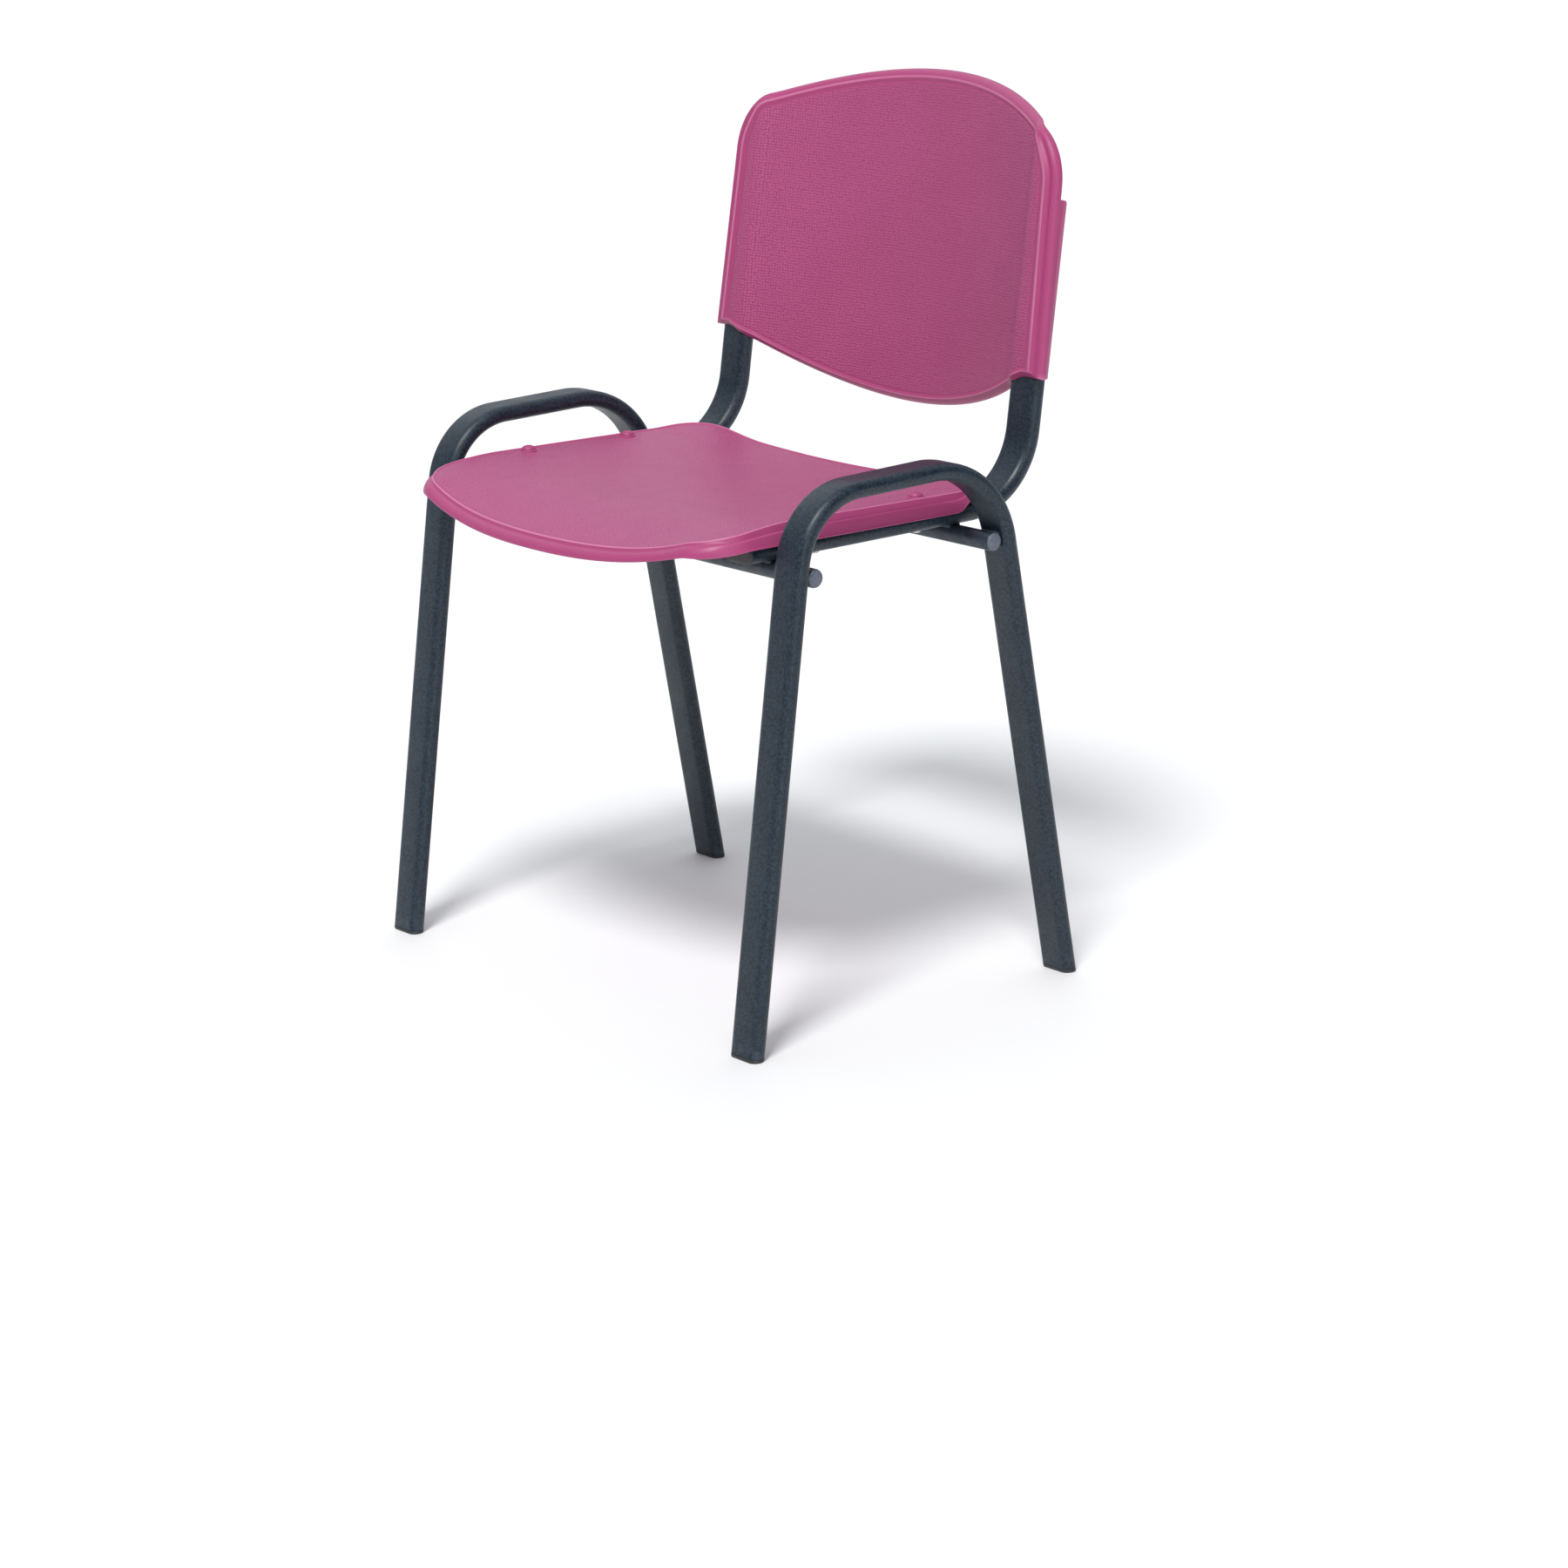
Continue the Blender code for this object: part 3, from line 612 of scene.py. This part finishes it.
def cross_plug(node, side):
    """Domed plug in the end of a cross tube."""
    centre = centre_mm(node)
    low, high = box_mm(node)
    inner, end, top = CROSS_RADIUS - WALL - GAP, CROSS_END + GAP, max(high.x, -low.x)
    profile = [(end - 14.0, inner - 1.0), (end - 12.5, inner), (end, inner), (end, CROSS_RADIUS - 0.5),
               (end + 0.12, CROSS_RADIUS - 0.35), (end + 0.3, CROSS_RADIUS - 0.3)]
    dome_base, dome_radius, steps = end + 0.4, CROSS_RADIUS - 0.35, 12
    for i in range(1, steps + 1):
        angle = pi / 2 * i / steps
        profile.append((dome_base + (top - dome_base) * sin(angle),
                        max(dome_radius * cos(angle) ** 0.9, 0.25)))
    rings = [[(side * x, centre.y + a, centre.z + b) for a, b in circle(r)] for x, r in profile]
    place(add_mesh(node + "_shown", stack(rings), [plug_grey]), node)


def cross_outline(arm, width):
    """Twelve corners of a cross, for a screwdriver recess."""
    quarter = [(width, width), (arm, width), (arm, -width)]
    points = []
    for turn in range(4):
        c, s = round(cos(-turn * pi / 2)), round(sin(-turn * pi / 2))
        points += [(a * c - b * s, a * s + b * c) for a, b in quarter]
    return points


def screw(node, centre, axis, across, head_radius, head_height, shank):
    """Pan head on a washer face, with a cross recess. axis points out of the head."""
    sideways = axis.cross(across)

    def ring(outline, height):
        return [centre + axis * height + across * a + sideways * b for a, b in outline]

    profile = [(-shank, 0.8), (-shank + 1.5, 2.1), (0.0, 2.1), (0.0, head_radius - 0.1),
               (0.12, head_radius), (0.55, head_radius), (0.7, head_radius - 0.15),
               (0.75, head_radius - 0.7), (0.8, head_radius * 0.82), (1.0, head_radius * 0.8)]
    steps = 7
    for i in range(1, steps + 1):
        angle = pi / 2 * i / steps
        profile.append((1.0 + (head_height - 1.0) * sin(angle),
                        head_radius * 0.8 * max(cos(angle) ** 0.6, 0.12)))
    head = add_mesh(node + "_shown", stack([ring(circle(r, 40), h) for h, r in profile]), [steel])
    arm = head_radius * 0.48
    recess = [(0.4, 0.22, head_height - 1.5), (arm * 0.75, 0.4, head_height - 0.8),
              (arm, 0.5, head_height + 0.5)]
    cutter = add_mesh("recess", stack([ring(cross_outline(a, w), h) for a, w, h in recess]), [steel])
    combine(head, cutter, "DIFFERENCE")
    shade(head, 30.0)
    place(head, node)


# ---------------------------------------------------------------- moulded shells

PANEL_ROW = 2                   # the texture ends at this row of every rim profile
ROWS_PER_SPAN = 2               # mesh rows between two rows of a rim profile


def zone_weights(normal):
    """Shares of (side, far edge, near edge) for an outward direction on the outline."""
    if normal.y < 0:
        side = ease((abs(normal.x) - 0.75) / 0.25)
        return (side, 0.0, 1 - side)
    side = ease((abs(normal.x) - 0.45) / 0.45)
    return (side, 1 - side, 0.0)


def blended(row, weights):
    """One rim row, given as a vector for each zone, mixed by their shares."""
    return row[0] * weights[0] + row[1] * weights[1] + row[2] * weights[2]


def offset_line(line, behind, ahead, row):
    """One side of the outline moved outward: vectors (x, y, rise, share, outline x, outline y).

    behind and ahead are the next points past its ends, or the ends themselves at a sharp corner.
    """
    points = [behind] + line + [ahead]
    out = []
    for i, p in enumerate(line):
        along = (points[i + 2] - points[i]).normalized()
        normal = Vector((along.y, -along.x))
        outward, rise, share = blended(row, zone_weights(normal))
        q = p + normal * outward
        out.append(Vector((q.x, q.y, rise, share, p.x, p.y)))
    return out


def trim_corner(before, after, reach=40):
    """Cuts two neighbouring sides where they cross, and gives them one corner."""
    for i in range(len(before) - 1, max(len(before) - reach, 0), -1):
        for j in range(min(reach, len(after) - 1)):
            at = intersect_line_line_2d(before[i - 1].xy, before[i].xy, after[j].xy, after[j + 1].xy)
            if at is not None:
                corner = (before[i] + after[j]) / 2
                corner[0], corner[1] = at
                return before[:i] + [corner], [corner] + after[j + 1:]
    return before, after


def rim_loop(sides, counts, row):
    """The closed outline moved outward by one rim row."""
    smooth = []
    for k in range(4):
        here, there = sides[k], sides[(k + 1) % 4]
        smooth.append((here[-1] - here[-2]).normalized().dot((there[1] - there[0]).normalized()) > 0.8)
    lines = []
    for k in range(4):
        behind = sides[k - 1][-2] if smooth[k - 1] else sides[k][0]
        ahead = sides[(k + 1) % 4][1] if smooth[k] else sides[k][-1]
        lines.append(offset_line(sides[k], behind, ahead, row))
    for k in range(4):
        if not smooth[k]:
            lines[k], lines[(k + 1) % 4] = trim_corner(lines[k], lines[(k + 1) % 4])
    loop = []
    for line, count in zip(lines, (counts[0], counts[1], counts[0], counts[1])):
        loop += resample(line, count)[:-1]
    return loop


def join(faces, tags, ring_a, ring_b, tag):
    """Adds the faces between two equal rings of vertices."""
    n = len(ring_a)
    for i in range(n):
        j = (i + 1) % n
        faces.append((ring_a[i], ring_a[j], ring_b[j], ring_b[i]))
        tags.append(tag)


def row_tag(row, ridge):
    """Tag of the faces that end at a row of the rim profile."""
    if row <= PANEL_ROW:
        return 0
    return 2 if ridge[0] < row <= ridge[1] else 1


def shell(sides, counts, zones, ridge, height, put):
    """Thin moulding: vertices and faces, and a tag for each face: 0 textured panel, 1 smooth, 2 ridge,
    coloured with a painted highlight.

    sides: four polylines round the outline, counter-clockwise from the lower left corner.
    zones: rim profiles for (side, far edge, near edge), each a list of (outward, rise, drop share).
    ridge: the first and the last row of the raised line round the panel, whose faces get the painted
    highlight.
    height(p, q, rise, share) gives the height at p, whose outline point is q; put(x, y, h) the point.
    """
    curves = [smooth_curve([Vector(p) for p in zone], ROWS_PER_SPAN) for zone in zones]
    rows = list(zip(*curves))
    nu, nv = counts
    edge = [p.xy for p in rim_loop(sides, counts, rows[0])]
    low, right = edge[:nu + 1], edge[nu:nu + nv + 1]
    high, left = edge[nu + nv:2 * nu + nv + 1][::-1], (edge[2 * nu + nv:] + edge[:1])[::-1]
    verts, faces, tags = [], [], []

    def skin(rise, tag):
        """Adds the grid inside the innermost row and returns the indices of its border."""
        first = len(verts)
        for j in range(nv + 1):
            v = j / nv
            for i in range(nu + 1):
                u = i / nu
                p = (low[i] * (1 - v) + high[i] * v + left[j] * (1 - u) + right[j] * u
                     - low[0] * (1 - u) * (1 - v) - low[-1] * u * (1 - v)
                     - high[0] * (1 - u) * v - high[-1] * u * v)
                verts.append(put(p.x, p.y, height(p, p, rise, 0.0)))
        at = [[first + j * (nu + 1) + i for i in range(nu + 1)] for j in range(nv + 1)]
        for j in range(nv):
            for i in range(nu):
                faces.append((at[j][i], at[j][i + 1], at[j + 1][i + 1], at[j + 1][i]))
                tags.append(tag)
        return (at[0][:-1] + [at[j][nu] for j in range(nv)] + at[nv][:0:-1]
                + [at[j][0] for j in range(nv, 0, -1)])

    border = skin(rows[0][0][1], 0)
    for k, row in enumerate(rows[1:-1], 1):
        ring = range(len(verts), len(verts) + len(border))
        for p in rim_loop(sides, counts, row):
            verts.append(put(p[0], p[1], height(p.xy, Vector(p[4:]), p[2], p[3])))
        join(faces, tags, border, ring, row_tag(k / ROWS_PER_SPAN, ridge))
        border = ring
    join(faces, tags, border, skin(rows[-1][0][1], 1), 1)
    return (verts, faces), tags


def mirror(points):
    return [Vector((-p.x, p.y)) for p in reversed(points)]


def edge_round(half, base, bow, x, radius, side_b, steps):
    """Rounds the corner between a straight side at half and an edge base + bow * x * x."""
    meet = base + bow * x * x + 2 * bow * x * (half - x)
    return fillet((half, meet), (half, side_b), (x, base + bow * x * x), radius, steps)


# seat shell -------------------------------------------------------

def eased(value, span):
    """0 before span[0], rising to 1 over the length span[1]."""
    return ease((value - span[0]) / span[1])


def front_drop_share(x, lift):
    """The front drops less at the corners than in the middle."""
    share, power = lift
    return 1 - share * min(abs(x) / SEAT_LIFT_HALF, 1.0) ** power


def seat_face(x, y):
    """Height of the upper face."""
    side = SEAT_SIDE_Z - SEAT_SIDE_SLOPE * y
    dish = SEAT_DISH * max(0.0, 1 - (x / SEAT_DISH_HALF) ** 2) ** 1.2
    nose = max(0.0, 1 - (y - SEAT_FRONT - SEAT_BOW * x * x) / SEAT_NOSE_LENGTH)
    drop = SEAT_NOSE_DROP * nose ** 2 * front_drop_share(x, SEAT_FACE_LIFT)
    curl = SEAT_CURL * eased(y, SEAT_CURL_Y) * eased(abs(x), SEAT_CURL_X)
    return side - dish - drop + curl


def seat_rim(x, y):
    """Height of the lower edge of the turned-down rim."""
    rear = eased(y, SEAT_RIM_REAR_Y)
    front = eased(-y, SEAT_RIM_DROP_Y) * front_drop_share(x, SEAT_RIM_LIFT)
    along_side = SEAT_RIM_Z - SEAT_RIM_SLOPE * y - SEAT_RIM_DROP * front
    return (1 - rear) * along_side + rear * (seat_face(x, y) - SEAT_RIM_REAR)


def seat_height(p, q, rise, share):
    """Beyond the outline the face goes on at the outline's own height."""
    outward = hypot(p.x, p.y) > hypot(q.x, q.y)
    at = q if outward else p
    face = seat_face(at.x, at.y)
    return face + rise - (face - seat_rim(at.x, at.y)) * share


# (outward, rise above the face, share of the drop to the rim's lower edge)
SEAT_UNDER = [(4.6, 0, 1.0), (3.9, 0, 0.98), (3.4, 0, 0.9), (2.6, 0, 0.74), (1.0, -3.6, 0.2), (-1.5, -4.0, 0),
              (-9, -SEAT_WALL, 0)]
SEAT_SIDE = [(-9, 0, 0), (-5, 0, 0), (-3.6, 0, 0), (-2.8, -0.3, 0), (-2.1, 0.1, 0), (-1.4, 0.9, 0),
             (-0.6, 1.15, 0), (0.2, 0.8, 0), (0.8, -0.4, 0.04), (1.3, -0.9, 0.16), (1.8, -0.7, 0.28),
             (2.4, -0.2, 0.33), (3.0, 0.2, 0.33), (3.7, 0.2, 0.38), (4.4, 0, 0.5), (5.0, 0, 0.68),
             (5.6, 0, 0.82), (5.9, 0, 0.90), (6.4, 0, 0.93), (6.5, 0, 0.97), (6.1, 0, 1.0)] + SEAT_UNDER
SEAT_BACK_EDGE = [(-9, 0, 0), (-5, 0, 0), (-3.6, 0, 0), (-2.8, -0.25, 0), (-2.1, 0.1, 0), (-1.4, 0.7, 0),
                  (-0.6, 0.9, 0), (0.4, 0.65, 0), (1.3, 0.1, 0), (2.0, -0.3, 0.04), (2.8, -0.4, 0.1),
                  (3.6, 0, 0.2), (4.3, 0, 0.3), (4.9, 0, 0.4), (5.5, 0, 0.5), (5.9, 0, 0.6), (6.2, 0, 0.7),
                  (6.4, 0, 0.8), (6.5, 0, 0.9), (6.3, 0, 0.97), (5.6, 0, 1.0)] + SEAT_UNDER
SEAT_NOSE = [(-11, 0, 0), (-7, 0, 0), (-5.4, 0, 0), (-4.6, -0.2, 0), (-3.9, 0.1, 0), (-3.2, 0.75, 0),
             (-2.4, 0.95, 0), (-1.6, 0.5, 0), (-1.0, -0.6, 0.01), (-0.4, -1.0, 0.04), (0.4, -0.8, 0.09),
             (1.4, -0.4, 0.15), (2.5, 0, 0.22), (3.6, 0, 0.31), (4.6, 0, 0.42), (5.4, 0, 0.54),
             (6.0, 0, 0.67), (6.3, 0, 0.78), (6.5, 0, 0.88), (6.4, 0, 0.95), (5.9, 0, 1.0)] + SEAT_UNDER
SEAT_RIDGE = (5, 7)


def seat_outline():
    front = edge_round(SEAT_HALF, SEAT_FRONT, SEAT_BOW, SEAT_CORNER_X, SEAT_CORNERS[0], 0.0, 32)[::-1]
    rear = fillet((SEAT_HALF, SEAT_REAR), (SEAT_HALF, 0.0), (0.0, SEAT_REAR), SEAT_CORNERS[1], 32)
    bow = [Vector((x, SEAT_FRONT + SEAT_BOW * x * x)) for x in range(-165, 166, 5)]
    front_left, rear_left = mirror(front), mirror(rear)
    return [front_left[16:] + bow + front[:17], front[16:] + rear[:17],
            rear[16:] + rear_left[:17], rear_left[16:] + front_left[:17]]


def seat_boss(x, y):
    """Screw boss below the seat and the low bump above it."""
    rest, top, wide = SEAT_TUBE_Z + TUBE_THICK / 2 + GAP, seat_face(x, y), SEAT_BUMP_RADIUS
    profile = [(wide - 0.4, rest), (wide, rest + 0.4), (wide, top + 0.45), (wide - 0.15, top + 0.75),
               (wide - 0.5, top + 0.95), (wide - 0.9, top + 1.05)]
    steps, radius, base = 10, wide - 1.1, top + 1.15
    for i in range(steps + 1):
        angle = pi / 2 * i / steps
        profile.append((max(radius * cos(angle) ** 0.85, 0.3),
                        base + (top + SEAT_BUMP_HEIGHT - base) * sin(angle)))
    return stack([[(x + a, y + Y_SHIFT + b, z) for a, b in circle(r)] for r, z in profile])


def seat_shell(node):
    geometry, tags = shell(seat_outline(), (76, 64), (SEAT_SIDE, SEAT_BACK_EDGE, SEAT_NOSE), SEAT_RIDGE,
                           seat_height, lambda x, y, z: (x, y + Y_SHIFT, z))
    materials = [plastic_seat_panel, plastic_smooth, plastic_ridge_highlight]
    seat = add_mesh(node + "_shown", geometry, materials, tags)
    for screw_node in SEAT_SCREWS:
        at = centre_mm(screw_node)
        bump = seat_boss(at.x, at.y - Y_SHIFT)
        combine(seat, add_mesh("boss", bump, materials, [1] * len(bump[1])), "UNION")
    shade(seat, 42.0)
    place(seat, node)


# back shell -------------------------------------------------------

def back_face(x):
    """How far the front face lies in front of the uprights' centre line."""
    hollow = BACK_HOLLOW + (BACK_HOLLOW_EDGE - BACK_HOLLOW) * (x / BACK_HOLLOW_HALF) ** 2
    return hollow + (BACK_FACE - hollow) * ease((abs(x) - BACK_BAND[0]) / BACK_BAND[1])


def back_height(p, q, rise, share):
    return back_face(p.x) + rise


# (outward, rise above the face)
BACK_UNDER = [(0, -6.8), (0, -8.2), (-0.3, -8.9), (-1.2, -9.0), (-3.2, -9.0), (-3.9, -8.5),
              (-4.4, -7.4), (-6.2, -5.0), (-10, -BACK_WALL), (-26, -BACK_WALL)]
BACK_SIDE = [(-26, 0), (-21.5, 0), (-19.6, 0), (-19.1, -0.5), (-18.4, -0.6), (-17.6, 0),
             (-15.8, 0.7), (-14.2, 1.4), (-12.8, 1.7), (-11.6, 1.4), (-10.4, 0.2), (-9.4, -1.2),
             (-8.2, -1.9), (-6.9, -1.6), (-5.4, -0.8), (-3.7, -0.8), (-2.1, -1.8),
             (-1.0, -3.4), (-0.25, -5.1)] + BACK_UNDER
BACK_CROWN = [(-26, 0), (-15, 0), (-12.4, 0), (-11.8, -0.3), (-11.1, -0.35), (-10.3, 0),
              (-9.4, 0.3), (-8.4, 0.45), (-7.4, 0.4), (-6.4, 0.2), (-5.5, -0.1), (-4.6, -0.5),
              (-3.8, -0.95), (-3.0, -1.5), (-2.3, -2.2), (-1.6, -3.0), (-1.0, -3.9),
              (-0.5, -4.8), (-0.15, -5.8)] + BACK_UNDER
BACK_LIP = [(-26, 0), (-12, 0), (-9.4, 0), (-8.9, -0.25), (-8.3, -0.3), (-7.6, 0),
            (-6.9, 0.35), (-6.2, 0.5), (-5.5, 0.45), (-4.9, 0.2), (-4.3, -0.15),
            (-3.7, -0.6), (-3.1, -1.1), (-2.5, -1.6), (-1.9, -2.3), (-1.4, -3.0),
            (-0.9, -3.9), (-0.5, -4.8), (-0.15, -5.8)] + BACK_UNDER

BACK_RIDGE = (7, 9)


def back_outline():
    def edge(x, base):
        return Vector((x, base + BACK_ARCH * min(abs(x), BACK_ARCH_HALF) ** 2))

    foot = BACK_HALF + BACK_FLARE
    lower = [edge(x, BACK_BOTTOM) for x in [-foot] + list(range(-200, 201, 5)) + [foot]]
    top = [Vector((x, BACK_TOP - BACK_ARCH * x * x)) for x in range(170, -171, -5)]
    corner = edge_round(BACK_HALF, BACK_TOP, -BACK_ARCH, BACK_CORNER_X, BACK_CORNER, 100.0, 32)
    other = mirror(corner)
    return [lower, [lower[-1]] + corner[:17], corner[16:] + top + other[:17], other[16:] + [lower[0]]]


def sleeve_section(side):
    """Runs into the plate at the front, rounded at the rear."""
    half = SLEEVE_WIDE / 2
    corners = [(half, 4.5), (-half, 2.0), (-half, SLEEVE_REAR), (half, SLEEVE_REAR)]
    points = fillet(corners[0], corners[3], corners[1], 0.4, 5)
    points += [Vector(corners[1])]
    points += fillet(corners[2], corners[1], corners[3], SLEEVE_ROUND, 14)
    points += fillet(corners[3], corners[2], corners[0], SLEEVE_ROUND, 14)
    return [(side * p.x, p.y) for p in points]


def inset_section(points, distance):
    """Section drawn in towards its middle, for rounded ends."""
    middle = Vector((0.0, -1.0))
    out = []
    for p in points:
        arm = Vector(p) - middle
        arm *= max(0.0, 1 - distance / arm.length)
        out.append(middle + arm)
    return out


def sleeve(x, side):
    section = sleeve_section(side)
    ends = [(SLEEVE_BOTTOM, 0.5), (SLEEVE_BOTTOM + 0.5, 0.0), (SLEEVE_TOP - 2.4, 0.0),
            (SLEEVE_TOP - 1.2, 0.3), (SLEEVE_TOP - 0.4, 1.0), (SLEEVE_TOP, 2.2)]
    return stack([[on_back(x + a, s, b) for a, b in inset_section(section, inset)] for s, inset in ends])


def back_shell(node):
    zones = [[(outward, rise, 0.0) for outward, rise in zone] for zone in (BACK_SIDE, BACK_CROWN, BACK_LIP)]
    geometry, tags = shell(back_outline(), (84, 56), zones, BACK_RIDGE, back_height, on_back)
    materials = [plastic_back_panel, plastic_smooth, plastic_ridge_highlight]
    back = add_mesh(node + "_shown", geometry, materials, tags)
    for side in (-1, 1):
        x = side * SEAT_TUBE_X
        outer = sleeve(x, side)
        combine(back, add_mesh("sleeve", outer, materials, [1] * len(outer[1])), "UNION")
        bore = oval(TUBE_WIDE / 2 + GAP, TUBE_THICK / 2 + GAP)
        pocket = stack([[on_back(x + a, s, b) for a, b in bore] for s in (40.0, POCKET_TOP)])
        combine(back, add_mesh("pocket", pocket, materials, [1] * len(pocket[1])), "DIFFERENCE")
    shade(back, 42.0)
    place(back, node)


# ---------------------------------------------------------------- build the pieces

SHORT_AXIS = Vector((1.0, 0.0, 0.0))
DOWN = Vector((0.0, 0.0, -1.0))
UPRIGHT_REAR = Vector((0.0, cos(RECLINE), -sin(RECLINE)))

for word, side in (("left", -1), ("right", 1)):
    hollow_tube(word + "_side_loop", LOOP_PATH, side * LOOP_X, GLIDE_FLANGE + GAP)
    hollow_tube(word + "_seat_back_tube", SEAT_TUBE_PATH, side * SEAT_TUBE_X)
    leg_glide("front_" + word + "_glide", side * LOOP_X, -1)
    leg_glide("rear_" + word + "_glide", side * LOOP_X, 1)
    seat_tube_plug(word + "_seat_tube_plug", side * SEAT_TUBE_X)
    cross_plug("front_" + word + "_cross_plug", side)
    cross_plug("rear_" + word + "_cross_plug", side)
    at = Vector(on_back(side * SEAT_TUBE_X, BACK_SCREW_S, SLEEVE_REAR - GAP))
    screw(word + "_back_screw", at, UPRIGHT_REAR, SHORT_AXIS, 4.0, 2.2, 9.0)

for node in SEAT_SCREWS:
    at = centre_mm(node)
    at.z = SEAT_TUBE_Z - TUBE_THICK / 2 - GAP
    screw(node, at, DOWN, SHORT_AXIS, 5.0, 3.0, 8.0)

cross_tube("front_cross_tube", FRONT_TOP, -1)
cross_tube("rear_cross_tube", REAR_TOP, 1)
seat_shell("seat_shell")
back_shell("back_shell")


# ---------------------------------------------------------------- floor, light and camera

def add_floor():
    material, nodes, shader = new_material("floor_pale", roughness=0.6)
    cloud = nodes.ranged(nodes.noise(900.0, detail=2.0), 0.3, 0.7, 0.0, 1.0)
    nodes.link(nodes.mix(cloud, (0.86, 0.86, 0.865), (0.88, 0.88, 0.885)), shader.inputs["Base Color"])
    size = 30000.0
    corners = [(-size, -size, 0), (size, -size, 0), (size, size, 0), (-size, size, 0)]
    add_mesh("floor", (corners, [(0, 1, 2, 3)]), [material])


def add_sun(name, direction, strength, softness, colour=(1.0, 1.0, 1.0)):
    """Very soft distant light; direction points from the chair to the light, softness is in degrees."""
    light = bpy.data.lights.new(name, "SUN")
    light.energy = strength
    light.angle = radians(softness)
    light.color = colour
    obj = bpy.data.objects.new(name, light)
    obj.rotation_euler = Vector(direction).to_track_quat("Z", "Y").to_euler()
    bpy.context.scene.collection.objects.link(obj)


# (direction, cosine where it starts, cosine where it is full, strength)
WORLD_LIGHTS = (((-0.78, 0.63, 0.25), 0.3, 0.85, 0.55), ((-0.2, -0.1, 1.0), 0.1, 0.9, 0.55))
WORLD_DIM = 0.06
WORLD_COLOUR = (0.93, 0.97, 1.0, 1.0)


def add_world():
    """Plain studio light: a bright backdrop behind the chair and a soft ceiling, dim elsewhere."""
    world = bpy.data.worlds.new("studio")
    world.use_nodes = True
    tree = world.node_tree
    background = tree.nodes["Background"]
    background.inputs["Color"].default_value = WORLD_COLOUR
    direction = tree.nodes.new("ShaderNodeTexCoord").outputs["Generated"]
    total = None
    for toward, start, full, strength in WORLD_LIGHTS:
        facing = tree.nodes.new("ShaderNodeVectorMath")
        facing.operation = "DOT_PRODUCT"
        facing.inputs[1].default_value = Vector(toward).normalized()
        tree.links.new(direction, facing.inputs[0])
        ramp = tree.nodes.new("ShaderNodeMapRange")
        ramp.interpolation_type = "SMOOTHSTEP"
        for name, number in (("From Min", start), ("From Max", full), ("To Min", 0.0), ("To Max", strength)):
            ramp.inputs[name].default_value = number
        tree.links.new(facing.outputs["Value"], ramp.inputs["Value"])
        both = tree.nodes.new("ShaderNodeMath")
        both.inputs[0].default_value = WORLD_DIM
        if total is not None:
            tree.links.new(total, both.inputs[0])
        tree.links.new(ramp.outputs["Result"], both.inputs[1])
        total = both.outputs["Value"]
    tree.links.new(total, background.inputs["Strength"])
    bpy.context.scene.world = world


# yaw to the left of +Y, then down, then roll, in degrees
CAMERA_TURN = (51.028, 15.398, -1.464)
CAMERA_PLACE = (2.87778, -2.29818, 1.15888)
CAMERA_LENS = 98.296


def add_camera():
    yaw, down, roll = (radians(angle) for angle in CAMERA_TURN)
    forward = Vector((-sin(yaw) * cos(down), cos(yaw) * cos(down), -sin(down)))
    right = Vector((cos(yaw), sin(yaw), 0.0))
    up = right.cross(forward)
    across = right * cos(roll) + up * sin(roll)
    upward = up * cos(roll) - right * sin(roll)
    camera = bpy.data.cameras.new("camera")
    camera.sensor_width = 36.0
    camera.lens = CAMERA_LENS
    camera.clip_end = 200.0
    obj = bpy.data.objects.new("camera", camera)
    turn = Matrix((across, upward, -forward)).transposed().to_4x4()
    obj.matrix_world = Matrix.Translation(CAMERA_PLACE) @ turn
    bpy.context.scene.collection.objects.link(obj)
    bpy.context.scene.camera = obj


add_floor()
add_world()
add_sun("key", (0.45, -0.65, 1.25), 2.5, 16.0)
add_sun("side", (1.0, -0.35, 0.3), 0.6, 40.0, (0.95, 0.98, 1.0))
add_camera()
bpy.context.scene.view_settings.view_transform = "Standard"
